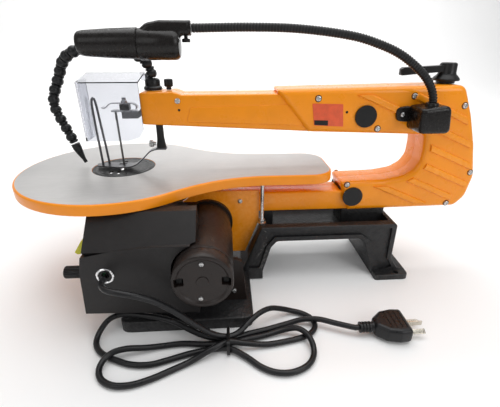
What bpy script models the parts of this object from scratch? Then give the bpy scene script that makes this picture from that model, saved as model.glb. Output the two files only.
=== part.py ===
"""Bench scroll saw with a 406 mm throat, built as separate named pieces.

Lengths in this file are millimetres and are turned into metres as each mesh is made.
X runs from the blade to the rear of the frame, Y runs from the motor side to the far
side and Z is up. The blade stands at X = 0, Y = 0 and the saw stands on Z = 0. One
empty carries every piece and moves the blade line to its place in the final frame,
whose origin is the middle of the saw's footprint.
"""
import math

import bmesh
import bpy
from mathutils import Vector

# Driving dimensions
MM = 0.001
GAP = 0.3
TABLE_TOP = 160.0
TABLE_RIM = 13.0
TABLE_PLATE = 6.0
TABLE_RADIUS = 127.5
TABLE_CENTRE_X = -5.0
TABLE_TAIL_END = 283.0
TABLE_TAIL_HALF = 51.0
TILT_AXIS_Z = 154.0
FRAME_REAR = 490.0
UPPER_PIVOT = (320.0, 229.5)
LOWER_PIVOT = (316.5, 118.0)
PIVOT_PIN_RADIUS = 5.0
BUSH_RADIUS = 8.0
RUNNING_FIT = 0.12
ARM_HALF = 6.0
LINK_X = 432.0
MOTOR_X = 113.0
MOTOR_Z = 87.0
MOTOR_RADIUS = 33.0
MOTOR_END = -169.0
CRANK_THROW = 5.1
ROD_PIN = (MOTOR_X, 111.0)
BASE_TOP = 85.0
PLATE_NEAR = -145.0
PLATE_RIGHT = 169.0
PLATE_FAR = 125.0
PLATE_THICK = 15.0
WALL = 4.0
LAMP_Y = -45.0
POST_X = 56.0
POST_Y = -12.0
CORD_RADIUS = 3.3

FOOTPRINT_X = (TABLE_CENTRE_X - TABLE_RADIUS + FRAME_REAR) / 2
FOOTPRINT_Y = (MOTOR_END + TABLE_RADIUS) / 2

ORANGE = ((0.86, 0.33, 0.02), 0.35, 0.1)
MACHINED = ((0.62, 0.62, 0.61), 0.35, 0.9)
CAST_BLACK = ((0.03, 0.03, 0.03), 0.6, 0.2)
BLACK_PLASTIC = ((0.025, 0.025, 0.027), 0.45, 0.0)
STEEL = ((0.55, 0.55, 0.56), 0.3, 1.0)
DARK_STEEL = ((0.12, 0.12, 0.13), 0.4, 0.9)
ALUMINIUM = ((0.45, 0.45, 0.46), 0.4, 0.9)
BRASS = ((0.75, 0.55, 0.25), 0.3, 1.0)
RUBBER = ((0.03, 0.03, 0.03), 0.7, 0.0)
YELLOW = ((0.85, 0.75, 0.1), 0.45, 0.0)
CLEAR = ((0.85, 0.9, 0.92), 0.1, 0.0)
SALMON = ((0.85, 0.3, 0.2), 0.5, 0.0)
GREEN_BOARD = ((0.05, 0.3, 0.12), 0.5, 0.0)


def clear_scene():
    for old in list(bpy.data.objects):
        bpy.data.objects.remove(old, do_unlink=True)


def to_world(along, u, v, axis):
    """Place the flat point (u, v), drawn across an axis, at a height along it."""
    if axis == "X":
        return (along, u, v)
    if axis == "Y":
        return (u, along, v)
    return (u, v, along)


def new_object(mesh_builder):
    mesh = bpy.data.meshes.new("shape")
    bmesh.ops.recalc_face_normals(mesh_builder, faces=mesh_builder.faces)
    mesh_builder.to_mesh(mesh)
    mesh_builder.free()
    made = bpy.data.objects.new("shape", mesh)
    bpy.context.scene.collection.objects.link(made)
    made.parent = saw
    return made


def prism(outline, axis, low, high):
    """Extrude a flat outline along an axis."""
    made = bmesh.new()
    corners = [made.verts.new(Vector(to_world(low, u, v, axis)) * MM) for u, v in outline]
    face = made.faces.new(corners)
    grown = bmesh.ops.extrude_face_region(made, geom=[face])["geom"]
    moved = [item for item in grown if isinstance(item, bmesh.types.BMVert)]
    travel = Vector(to_world(high - low, 0, 0, axis)) * MM
    bmesh.ops.translate(made, verts=moved, vec=travel)
    return new_object(made)


def block(low, high):
    corners = [(low[0], low[1]), (high[0], low[1]), (high[0], high[1]), (low[0], high[1])]
    return prism(corners, "Z", low[2], high[2])


def circle(u, v, radius, sides, start=0.0, turn=360.0):
    """Points of a circle, or of an arc that includes both its ends."""
    steps = sides if turn < 360.0 else sides - 1
    angles = [math.radians(start + turn * i / sides) for i in range(steps + 1)]
    return [(u + radius * math.cos(a), v + radius * math.sin(a)) for a in angles]


def disc(centre, axis, radius, low, high, sides=24):
    return prism(circle(centre[0], centre[1], radius, sides), axis, low, high)


def turned(centre, axis, profile, sides=20):
    """Turn a profile of (radius, height) points about an axis.

    A profile that starts and ends on the axis gives a solid, and any other profile is
    a closed ring section.
    """
    made = bmesh.new()
    rings = []
    for radius, height in profile:
        if radius == 0.0:
            point = to_world(height, centre[0], centre[1], axis)
            rings.append([made.verts.new(Vector(point) * MM)])
            continue
        points = circle(centre[0], centre[1], radius, sides)
        rings.append([made.verts.new(Vector(to_world(height, u, v, axis)) * MM) for u, v in points])
    pairs = list(zip(rings, rings[1:]))
    if profile[0][0] > 0.0:
        pairs.append((rings[-1], rings[0]))
    for lower, upper in pairs:
        join_rings(made, lower, upper)
    return new_object(made)


def join_rings(made, lower, upper):
    count = max(len(lower), len(upper))
    for i in range(count):
        j = (i + 1) % count
        if len(lower) == 1:
            made.faces.new((lower[0], upper[i], upper[j]))
        elif len(upper) == 1:
            made.faces.new((lower[i], lower[j], upper[0]))
        else:
            made.faces.new((lower[i], lower[j], upper[j], upper[i]))


def smooth_route(route, spacing):
    """Read evenly spaced points from a smooth curve through the route's points."""
    points = [Vector(p) for p in route]
    ends = [2 * points[0] - points[1]] + points + [2 * points[-1] - points[-2]]
    fine = []
    for a, b, c, d in zip(ends, ends[1:], ends[2:], ends[3:]):
        for step in range(20):
            t = step / 20
            fine.append(
                0.5 * (2 * b + (c - a) * t + (2 * a - 5 * b + 4 * c - d) * t**2
                       + (3 * b - a - 3 * c + d) * t**3)
            )
    fine.append(points[-1])
    total = sum((q - p).length for p, q in zip(fine, fine[1:]))
    count = max(2, round(total / spacing))
    wanted = total / count
    picked = [fine[0]]
    walked = 0.0
    for p, q in zip(fine, fine[1:]):
        walked += (q - p).length
        if walked >= wanted * len(picked) - 1e-6 and len(picked) < count:
            picked.append(q)
    picked.append(fine[-1])
    return picked


def swept(points, radii, sides):
    """Round body along a path, with a radius for each of its points."""
    made = bmesh.new()
    rings = []
    side = Vector((0, 1, 0))
    for i, (point, radius) in enumerate(zip(points, radii)):
        ahead = (points[min(i + 1, len(points) - 1)] - points[max(i - 1, 0)]).normalized()
        side = (side - ahead * side.dot(ahead)).normalized()
        up = ahead.cross(side)
        ring = []
        for u, v in circle(0, 0, radius, sides):
            ring.append(made.verts.new((point + side * u + up * v) * MM))
        rings.append(ring)
    for lower, upper in zip(rings, rings[1:]):
        join_rings(made, lower, upper)
    made.faces.new(rings[0])
    made.faces.new(rings[-1])
    return new_object(made)


def wire(points, radius):
    """Curve with a round bevel and filled caps, on a straight-segment spline."""
    path = bpy.data.curves.new("wire", "CURVE")
    path.dimensions = "3D"
    path.bevel_depth = radius * MM
    path.bevel_resolution = 2
    path.use_fill_caps = True
    spline = path.splines.new("POLY")
    spline.points.add(len(points) - 1)
    for target, point in zip(spline.points, points):
        target.co = (point[0] * MM, point[1] * MM, point[2] * MM, 1.0)
    made = bpy.data.objects.new("wire", path)
    bpy.context.scene.collection.objects.link(made)
    made.parent = saw
    return made


def combine(body, tools, operation):
    for tool in tools:
        step = body.modifiers.new(operation, "BOOLEAN")
        step.operation = operation
        step.solver = "EXACT"
        step.object = tool
        bpy.context.view_layer.update()
        graph = bpy.context.evaluated_depsgraph_get()
        result = bpy.data.meshes.new_from_object(body.evaluated_get(graph))
        body.modifiers.remove(step)
        body.data = result
        bpy.data.objects.remove(tool, do_unlink=True)
    return body


def unite(body, *tools):
    return combine(body, tools, "UNION")


def cut(body, *tools):
    return combine(body, tools, "DIFFERENCE")


def soften(body, width, segments=1, angle=40.0):
    step = body.modifiers.new("bevel", "BEVEL")
    step.width = width * MM
    step.segments = segments
    step.limit_method = "ANGLE"
    step.angle_limit = math.radians(angle)
    return body


def finish(body, name, look, pivot=None):
    """Name a piece, give it its own material and put its origin on its axis."""
    body.name = name
    body.data.name = name
    colour, roughness, metallic = look
    coat = bpy.data.materials.new(name + "_material")
    coat.use_nodes = True
    shader = coat.node_tree.nodes["Principled BSDF"]
    shader.inputs["Base Color"].default_value = (*colour, 1.0)
    shader.inputs["Roughness"].default_value = roughness
    shader.inputs["Metallic"].default_value = metallic
    body.data.materials.clear()
    body.data.materials.append(coat)
    if pivot is not None:
        offset = Vector(pivot) * MM
        for corner in body.data.vertices:
            corner.co -= offset
        body.location = offset
    if body.type == "MESH":
        body.data.shade_smooth()
        body.data.set_sharp_from_angle(angle=math.radians(35))
    return body


def strip(path, thickness):
    """Outline of a bent strip that follows a path of flat points."""
    points = [Vector(p) for p in path]
    left = []
    right = []
    for i, point in enumerate(points):
        ahead = (points[min(i + 1, len(points) - 1)] - points[max(i - 1, 0)]).normalized()
        normal = Vector((-ahead.y, ahead.x)) * thickness / 2
        left.append(tuple(point + normal))
        right.append(tuple(point - normal))
    return left + right[::-1]


# Base


def make_base():
    arch = [
        (186, BASE_TOP), (378, BASE_TOP), (378, 28), (390, 10), (402, 8), (402, 0), (353, 0),
        (334, 56), (325, 63), (208, 63), (200, 53), (189, 14), (189, 1), (158, 1), (158, 14),
        (167, 36),
    ]
    body = prism(arch, "Y", -52, 52)
    unite(body, block((352, -65, 0), (402.2, 65, 8)))
    unite(body, block((9, PLATE_NEAR, 0), (PLATE_RIGHT, PLATE_FAR, PLATE_THICK)))
    recess = block((194, -40, 71), (370, 40, BASE_TOP + 5))
    cut(body, recess)
    unite(body, block((306, -18, 66), (371, 18, 95.7)))
    unite(body, block((190, -18, 66), (206, 18, 95.7)))
    hollow = block((15, PLATE_NEAR + 6, -2), (152, PLATE_FAR - 6, PLATE_THICK - 5))
    cut(body, hollow)
    for x, y in ((24, PLATE_NEAR + 12), (24, PLATE_FAR - 12)):
        cut(body, disc((x + 8, y + (12 if y < 0 else -12)), "Z", 4, -1, PLATE_THICK + 1, 12))
    for y in (-58, 58):
        cut(body, disc((385, y), "Z", 4, -1, 9, 12))
    return finish(body, "base_casting", CAST_BLACK)


# Frame

REAR_OUTLINE = [
    (247, 210), (204, 262.5), (446, 266.5), (464, 228), (478, 190), (FRAME_REAR, 144),
    (485, 113), (472, 98), (312, 96), (298, 139), (361, 141), (386, 145.5), (400, 154),
    (407, 166), (407.5, 185), (405, 204),
]
FRONT_ARM_OUTLINE = [(37, 221.5), (37, 260), (78, 260.5), (88, 257), (240, 257.5), (258, 209.4)]
POCKET_OUTLINE = [
    (30, 225.5), (30, 254.5), (240, 253.5), (245, 258.5), (441, 261.5), (460, 226), (474, 189),
    (FRAME_REAR - WALL, 144), (481, 115), (469, 102), (320, 99.6), (130, 99.6), (130, 121),
    (300.5, 121), (301.5, 134.5), (362, 136.5), (388, 141), (403.5, 150.5), (411.5, 164),
    (412, 186), (409, 208.5), (252, 214.5),
]


def make_frame_half(side, name):
    """One half of the hollow C-shaped frame. side is -1 near the motor and 1 away."""

    def slab(outline, inner, outer):
        low, high = sorted((side * inner, side * outer))
        return prism(outline, "Y", low, high)

    seam = GAP / 2
    near = side < 0
    lower_top = 125 if near else 124.4
    lower_front = [(135, 96), (135, lower_top), (306, lower_top), (316, 96)]
    body = slab(REAR_OUTLINE, seam, 27)
    unite(body, slab(FRONT_ARM_OUTLINE, seam, 22))
    unite(body, slab(lower_front, seam, 22 if near else 18))
    cut(body, slab(POCKET_OUTLINE, -1, 18 if near else 14))
    for x, z in (UPPER_PIVOT, LOWER_PIVOT):
        cut(body, disc((x, z), "Y", PIVOT_PIN_RADIUS + GAP, -30, 30, 16))
    cut(body, disc((LINK_X, 0), "Z", 9, 245, 270, 16))
    if near:
        unite(body, block((48, -18.5, 224), (64, -7, 255)))
        cut(body, disc((POST_X, POST_Y), "Z", 5.2, 215, 251.3, 16))
    return finish(body, name, ORANGE)


def make_frame():
    make_frame_half(-1, "frame_half_near")
    make_frame_half(1, "frame_half_far")
    for level, (x, z) in (("upper", UPPER_PIVOT), ("lower", LOWER_PIVOT)):
        pin = disc((x, z), "Y", PIVOT_PIN_RADIUS, -26.5, 26.5, 24)
        finish(pin, level + "_pivot_pin", STEEL)
        inner = PIVOT_PIN_RADIUS + RUNNING_FIT
        half = ARM_HALF - 0.5
        bush = turned((x, z), "Y", [
            (inner, -half), (BUSH_RADIUS, -half), (BUSH_RADIUS, half), (inner, half),
        ], 24)
        finish(bush, level + "_pivot_bush", BRASS, (x, 0, z))
        for side, place in ((-1, "near"), (1, "far")):
            low, high = sorted((side * 27.3, side * 29.3))
            cap = disc((x, z), "Y", 14, low, high, 28)
            finish(cap, f"{level}_pivot_cap_{place}", BLACK_PLASTIC)
    outline = [(250, 246), (289, 245), (292, 217), (254, 219)]
    finish(prism(outline, "Y", -27.8, -27.3), "label_plate", SALMON)


# Rocking arms, blade and blade tension


def make_arm(outline, pivot, name, holes, *extras):
    body = unite(prism(outline, "Y", -ARM_HALF, ARM_HALF), *extras)
    unite(body, disc(pivot, "Y", 11, -ARM_HALF, ARM_HALF, 24))
    cut(body, disc(pivot, "Y", BUSH_RADIUS + RUNNING_FIT, -10, 10, 24))
    cut(body, disc((LINK_X, 0), "Z", 4.2, holes[0], holes[1], 16))
    return finish(body, name, ALUMINIUM, (pivot[0], 0, pivot[1]))


def make_arms():
    upper = [
        (9, 226.5), (29, 226.5), (37.5, 232.8), (310, 223), (446, 223), (446, 236), (330, 236),
        (37, 243), (30, 234.5), (9, 234.5),
    ]
    make_arm(upper, UPPER_PIVOT, "upper_arm", (215, 245))
    lower = [
        (10, 106), (135, 106), (300, 106), (320, 110), (446, 110), (446, 123), (320, 123),
        (300, 116), (10, 116),
    ]
    rod_pin = turned(ROD_PIN, "Y", [
        (0, -12.8), (4.5, -12.8), (4.5, -11.3), (3, -11.3), (3, -5), (0, -5),
    ], 16)
    make_arm(lower, LOWER_PIVOT, "lower_arm", (100, 135), rod_pin)


def make_blade_set():
    jaw = block((-4, -5, 234.8), (27, 5, 236.6))
    cut(jaw, block((-2.3, -0.7, 230), (2.3, 0.7, 240)))
    finish(jaw, "upper_jaw_plate", STEEL, (UPPER_PIVOT[0], 0, UPPER_PIVOT[1]))
    clamp = soften(block((7, -5, 236.9), (19, 5, 244.2)), 0.6)
    finish(clamp, "upper_clamp_block", DARK_STEEL, (UPPER_PIVOT[0], 0, UPPER_PIVOT[1]))
    leaf_path = [
        (-16, 240), (-12, 239.2), (-6, 244.6), (4, 245.2), (20, 245.2), (25, 244.2), (28, 241),
        (27.4, 238),
    ]
    lever = prism(strip(leaf_path, 1.0), "Y", -4.5, 4.5)
    eye_x = 12.6
    unite(lever, turned((eye_x, 0), "Z", [
        (0, 245), (4, 245), (4, 248), (2.6, 249), (2.6, 252), (0, 252),
    ], 12))
    finish(lever, "clamp_lever", STEEL, (eye_x, 0, 245))
    blade = prism([(-1.5, 109.8), (1.5, 109.8), (1.5, 236.2), (-1.5, 236.2)], "Y", -0.35, 0.35)
    finish(blade, "blade", STEEL)
    holder = block((-5, -5, 104.5), (9.7, 5, 117.5))
    cut(holder, block((-2.3, -0.8, 109.3), (2.3, 0.8, 120)))
    unite(holder, turned((5, 112), "Y", [(0, 4), (4, 4), (4, 9), (3, 10), (3, 13), (0, 13)], 12))
    finish(holder, "lower_blade_clamp", DARK_STEEL, (LOWER_PIVOT[0], 0, LOWER_PIVOT[1]))


def make_tension():
    rod = turned((LINK_X, 0), "Z", [
        (0, 105), (6.5, 105), (6.5, 108.6), (3, 108.6), (3, 237), (7, 237), (7, 243), (3, 243), (3, 280),
        (0, 280),
    ], 16)
    finish(rod, "tension_rod", STEEL)
    inside = prism(circle(LINK_X, 0, 11.3, 24), "Z", 266.9, 271.2)
    cut(inside, disc((LINK_X, 0), "Z", 8.6, 260, 275, 24))
    finish(inside, "tension_collar", DARK_STEEL)
    lever = turned((LINK_X, 0), "Z", [
        (0, 280.6), (8, 280.6), (8, 277), (12.2, 274.5), (12.2, 270.2), (16.5, 270.2), (16.5, 273),
        (14, 276), (11, 278.5), (10.5, 290), (8.5, 292), (0, 292),
    ], 24)
    handle = [(LINK_X - 2, 281.5), (385, 278), (369, 276.5), (368, 284), (372, 286.3), (LINK_X - 2, 289)]
    unite(lever, prism(handle, "Y", -6, 6))
    finish(lever, "tension_lever", BLACK_PLASTIC, (LINK_X, 0, 276))


# Motor and crank


def make_motor():
    near = MOTOR_END + 18
    can = disc((MOTOR_X, MOTOR_Z), "Y", MOTOR_RADIUS, near + GAP, -62, 40)
    finish(can, "motor_can", BLACK_PLASTIC)
    cap = turned((MOTOR_X, MOTOR_Z), "Y", [
        (0, MOTOR_END), (MOTOR_RADIUS - 3, MOTOR_END), (MOTOR_RADIUS, MOTOR_END + 3),
        (MOTOR_RADIUS, near), (0, near),
    ], 40)
    finish(cap, "motor_end_cap", BLACK_PLASTIC)
    ring = turned((MOTOR_X, MOTOR_Z), "Y", [
        (9, -61.7), (MOTOR_RADIUS - 2, -61.7), (MOTOR_RADIUS - 2, -36), (MOTOR_RADIUS + 1, -36),
        (MOTOR_RADIUS + 1, -30.3), (9, -30.3),
    ], 40)
    finish(ring, "motor_mount_ring", CAST_BLACK)
    outline = [(109, 15.3), (162, 15.3), (157, 72), (150, 76), (138, 76), (109, 52)]
    stay = prism(outline, "Y", -112, -106)
    unite(stay, block((109, -112, 15.3), (162, -84, 20)))
    cut(stay, disc((MOTOR_X, MOTOR_Z), "Y", MOTOR_RADIUS + GAP, -120, -80, 40))
    finish(stay, "motor_stay", CAST_BLACK)
    shaft = disc((MOTOR_X, MOTOR_Z), "Y", 4, -61, -18, 16)
    unite(shaft, disc((MOTOR_X, MOTOR_Z), "Y", 10.5, -20, -16, 24))
    unite(shaft, disc((MOTOR_X + CRANK_THROW, MOTOR_Z), "Y", 3, -18, -11.4, 16))
    finish(shaft, "crank_shaft", STEEL, (MOTOR_X, 0, MOTOR_Z))
    plate = [
        (80, 60), (80, 118), (100, 132), (184, 132), (184, 86), (164.5, 36.5), (122, 36.5),
    ]
    bracket = prism(plate, "Y", -30, -26)
    unite(bracket, block((142, -27, 100), (178, -22.3, 120)), block((46, -29, 80), (84, 12, 84)))
    cut(bracket, disc((MOTOR_X, MOTOR_Z), "Y", 12, -35, -20, 24))
    finish(bracket, "crank_bracket", ORANGE)
    small = ROD_PIN
    big = (MOTOR_X + CRANK_THROW, MOTOR_Z)
    rod = prism([(110.5, 111), (115.4, 88), (120.6, 88), (115.5, 111)], "Y", -10.9, -7)
    unite(rod, disc(small, "Y", 6, -10.9, -7, 20), disc(big, "Y", 7, -10.9, -7, 20))
    cut(rod, disc(small, "Y", 3.15, -20, 0, 16), disc(big, "Y", 3.4, -20, 0, 16))
    finish(rod, "connecting_rod", STEEL, (small[0], 0, small[1]))


# Control box


def make_controls():
    face = [
        (-22, 36), (-19.5, 76), (-18.5, 92), (-14.5, 110), (20, 117), (60, 120), (106, 120),
        (106, 31), (40, 34),
    ]
    far = -36
    body = prism(face, "Y", -150, far)
    hump = [(-150, 116), (-117, 146.2), (-104, 146.2), (-96, 119), (-96, 105), (-140, 105)]
    unite(body, prism(hump, "X", -12, 106))
    motor_bay = disc((MOTOR_X, MOTOR_Z), "Y", MOTOR_RADIUS + 2.5, -180, 0, 40)
    cut(body, motor_bay)
    hollow = [(-18, 40), (-15, 92), (-11, 106), (60, 116), (72, 116), (72, 37), (40, 37)]
    cut(body, prism(hollow, "Y", -147, far + 5))
    cut(body, block((-9, -116, 100), (103, -104, 142)))
    cut(body, disc((8, 87), "Y", 4.3, -155, -140, 16))
    cut(body, disc((-138, 85), "X", 4.3, -25, -10, 16))
    finish(body, "control_box", BLACK_PLASTIC)
    flap = [(-15, 119), (-19, 118.6), (-28, 105), (-25.6, 102.6), (-18.2, 103)]
    finish(prism(flap, "Y", -130, -106), "switch_flap", YELLOW, (-15.5, 0, 118.5))
    knob = turned((-138, 85), "X", [
        (0, -39), (6, -39), (7, -37.8), (7, -21.4), (3, -21.4), (3, -13), (0, -13),
    ], 20)
    finish(knob, "speed_knob", BLACK_PLASTIC, (0, -138, 85))
    gland = turned((8, 87), "Y", [
        (CORD_RADIUS + GAP, -156), (6, -156), (7.5, -153), (7.5, -150.3), (4, -150.3),
        (4, -143), (CORD_RADIUS + GAP, -143),
    ], 20)
    finish(gland, "cord_gland", RUBBER)
    board = block((-12, -146, 58), (-10.4, -100, 97))
    finish(board, "speed_board", GREEN_BOARD)


# Table


def make_table():
    outline = table_edge(0)
    body = prism(outline, "Z", TABLE_TOP - TABLE_RIM, TABLE_TOP)
    cut(body, prism(table_edge(5), "Z", TABLE_TOP - TABLE_RIM - 5, TABLE_TOP - TABLE_PLATE))
    cut(body, disc((0, 0), "Z", 41.5, TABLE_TOP - 3, TABLE_TOP + 5, 40))
    cut(body, disc((0, 0), "Z", 36, TABLE_TOP - 20, TABLE_TOP + 5, 40))
    finish(body, "table", MACHINED, (0, 0, TILT_AXIS_Z))
    insert = disc((0, 0), "Z", 41, TABLE_TOP - 2.7, TABLE_TOP - 0.2, 40)
    cut(insert, block((-3, -14, 150), (3, 14, 170)))
    for x, y in ((-14, -22), (-4, -24), (-17, 18), (-6, 20)):
        cut(insert, block((x, y - 5, 150), (x + 5, y + 5, 170)))
    finish(insert, "table_insert", BLACK_PLASTIC, (0, 0, TILT_AXIS_Z))
    trunnion = disc((0, TILT_AXIS_Z), "X", 27.5, 84, 90, 32)
    cut(trunnion, block((80, -40, TABLE_TOP - TABLE_PLATE - GAP), (95, 40, 200)))
    unite(trunnion, block((72, -30, 150.5), (104, 30, TABLE_TOP - TABLE_PLATE - GAP)))
    slot = circle(0, TILT_AXIS_Z, 24, 10, -100, 65) + circle(0, TILT_AXIS_Z, 16.4, 10, -35, -65)
    cut(trunnion, prism(slot, "X", 80, 95))
    finish(trunnion, "table_trunnion", CAST_BLACK, (0, 0, TILT_AXIS_Z))
    support = [
        (-22, 100), (-22, 140), (-1, 140), (17.5, 120.5), (17.5, 100), (9, 100), (9, 125),
        (-7.5, 125), (-7.5, 100),
    ]
    bracket = prism(support, "X", 91, 96)
    unite(bracket, block((95, -22, 101), (134.7, -18.5, 124)))
    unite(bracket, block((95, 14, 101), (134.7, 17.5, 120.5)))
    cut(bracket, disc((0, 134), "X", 3.3, 80, 110, 12))
    finish(bracket, "trunnion_bracket", CAST_BLACK)
    knob = turned((0, 134), "X", [
        (0, 62), (9, 62), (10, 64), (10, 80), (5, 83.7), (3, 83.7), (3, 99), (0, 99),
    ], 16)
    finish(knob, "tilt_lock_knob", BLACK_PLASTIC, (0, 0, 134))
    stop = turned((188, -35), "Z", [
        (0, BASE_TOP + GAP), (6, BASE_TOP + GAP), (6, 91), (2.6, 91), (2.6, TABLE_TOP - TABLE_RIM - GAP),
        (0, TABLE_TOP - TABLE_RIM - GAP),
    ], 12)
    finish(stop, "table_stop_bolt", STEEL)


def table_edge(shrink):
    """Round front that runs through an S-curve into the narrow tail."""
    radius = TABLE_RADIUS - shrink
    tail = TABLE_TAIL_HALF - shrink
    meet = 50.0
    far_front = circle(TABLE_CENTRE_X, 0, radius, 26, meet, 360 - 2 * meet)
    start = Vector(far_front[0])
    end = Vector((200.0, tail))
    slope_in = Vector((math.sin(math.radians(meet)), -math.cos(math.radians(meet)))) * 150
    slope_out = Vector((150.0, 0.0))
    blend = []
    for i in range(1, 9):
        t = i / 9
        blend.append(tuple(
            start * (2 * t**3 - 3 * t**2 + 1) + slope_in * (t**3 - 2 * t**2 + t)
            + end * (3 * t**2 - 2 * t**3) + slope_out * (t**3 - t**2)
        ))
    corner = 30.0
    rounding = circle(TABLE_TAIL_END - corner - shrink, tail - corner, corner, 5, 90, -90)
    upper_side = blend + [tuple(end)] + rounding
    lower_side = [(x, -y) for x, y in upper_side]
    return far_front + lower_side + upper_side[::-1]


# Hold-down, guards and air line


def make_hold_down():
    post = turned((POST_X, POST_Y), "Z", [
        (0, 190), (6.3, 190), (6.2, 192), (4.8, 202), (4.7, 215), (4.6, 231), (3.6, 232), (0, 232),
    ], 16)
    finish(post, "hold_down_post", BLACK_PLASTIC)
    screw = turned((POST_Y, 195), "X", [
        (0, 41), (4.5, 41), (4.5, 46), (2.5, 47), (2.5, 49.5), (0, 49.5),
    ], 12)
    finish(screw, "hold_down_screw", STEEL, (0, POST_Y, 195))
    sole = strip([
        (60, 187.8), (47, 187.8), (41, 184.5), (28, 173), (20, 167), (8, 163.6), (-36, 163.2),
    ], 1.4)
    foot = prism(sole, "Y", -16, -6)
    widen = [(18, -16), (2, -15), (-8, -4), (-34, -4), (-36, 4), (-28, 9), (-10, 9), (8, 4), (18, -6)]
    unite(foot, prism(widen, "Z", 162.5, 163.9))
    unite(foot, block((49, -16, 187.1), (63, -8, 189.7)))
    slot = [(-6, -2.5), (4, -2.5), (4, 2.5), (-6, 2.5)]
    cut(foot, prism(slot, "Z", 150, 175))
    loop = [(-27, -2, 163.5), (-27.5, -2, 200), (-28, -1, 240), (-28.5, 1, 250), (-28, 4, 252),
            (-26, 6.5, 250), (-25, 7, 240), (-23, 7, 200), (-21, 6, 163.5)]
    points = smooth_route(loop, 9)
    unite(foot, swept(points, [1.5] * len(points), 8))
    finish(foot, "hold_down_foot", STEEL)
    knob = turned((70, 4), "Z", [(0, 261), (3.2, 261), (3.2, 264), (5.5, 265), (5.5, 273), (0, 274)], 14)
    finish(knob, "post_lock_knob", BLACK_PLASTIC, (70, 4, 0))


def make_guard():
    outer = [(-33, 203), (-33, 273), (39, 272), (39, 216), (33, 207), (20, 203)]
    near = prism(outer, "Y", -28.2, -26.2)
    front = block((-33, -27, 203), (-31, 2, 272.9))
    top = prism([(-28.2, 271.2), (-28.2, 273), (13, 281), (13, 279.2)], "X", -33, 39)
    unite(near, front, top)
    ear = prism([(34, 271), (34, 279.5), (44, 279.5), (48, 275), (44, 270.5)], "Y", 14, 17)
    unite(near, prism([(8, 278.2), (8, 280), (17, 281.6), (17, 276)], "X", 34, 39), ear)
    cut(near, disc((43, 275), "Y", 2.3, 10, 20, 12))
    finish(near, "blade_guard", CLEAR, (43, 0, 275))
    mount = block((39, 17.3, 260.4), (48, 19.5, 279))
    unite(mount, disc((43, 275), "Y", 2, 13, 18.5, 12))
    finish(mount, "guard_mount", DARK_STEEL)


HOSE_ROUTE = [
    (50, 5, 275.2), (49, 5, 284), (44.5, 3.5, 293), (35, 0, 301), (20, -7, 307), (2, -13, 310),
    (-16, -16, 309.5), (-32, -14, 306), (-45, -9, 299.5), (-54, -3, 291), (-60, 0, 280.5), (-66, 1, 269),
    (-72.5, 1.5, 256.5), (-75.5, 2, 243.5), (-73, 2, 230.5), (-68.5, 2, 217.5), (-64, 2, 204.5),
    (-60.5, 2, 194.5),
]
NOZZLE_PATH = [(-60, 2, 192.8), (-58.5, 2, 188), (-55.5, 2, 179.5), (-50.5, 2, 167)]


def make_air_line():
    collar = turned((50, 5), "Z", [
        (0, 260.8), (11.5, 260.8), (11.5, 264), (9.5, 265), (9.5, 273.6), (0, 274.8),
    ], 20)
    finish(collar, "hose_collar", BLACK_PLASTIC)
    points = smooth_route(HOSE_ROUTE, 6.2)
    radii = [6.9 if i % 2 else 5.4 for i in range(len(points))]
    finish(swept(points, radii, 10), "air_hose", BLACK_PLASTIC, (50, 5, 274))
    tip = [Vector(p) for p in NOZZLE_PATH]
    finish(swept(tip, [5.6, 5.6, 3.6, 2.4], 14), "air_nozzle", BLACK_PLASTIC, HOSE_ROUTE[-1])
    bellows = turned((60, 0), "Z", [
        (0, 84.4), (12, 84.4), (13, 86), (10, 87.5), (13, 89), (10, 90.5), (13, 92), (11, 94), (0, 94),
    ], 20)
    finish(bellows, "air_bellows", RUBBER)
    route = [
        (64, 15.6, 89), (76, 13.5, 91), (95, 11.2, 95), (118, 10.9, 98.5), (132, 10.9, 103),
        (170, 10.9, 103.3), (300, 10.9, 103), (420, 10.9, 108), (456, 10.9, 125), (467, 10.9, 160), (462, 10.9, 200),
        (446, 10.9, 236), (420, 10.9, 250), (300, 10.9, 249.5), (90, 10.9, 246),
        (64, 10.5, 247.5),
    ]
    tube = smooth_route(route, 12)
    finish(wire(tube, 2.0), "air_tube", CLEAR)


# Work lamp


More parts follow.
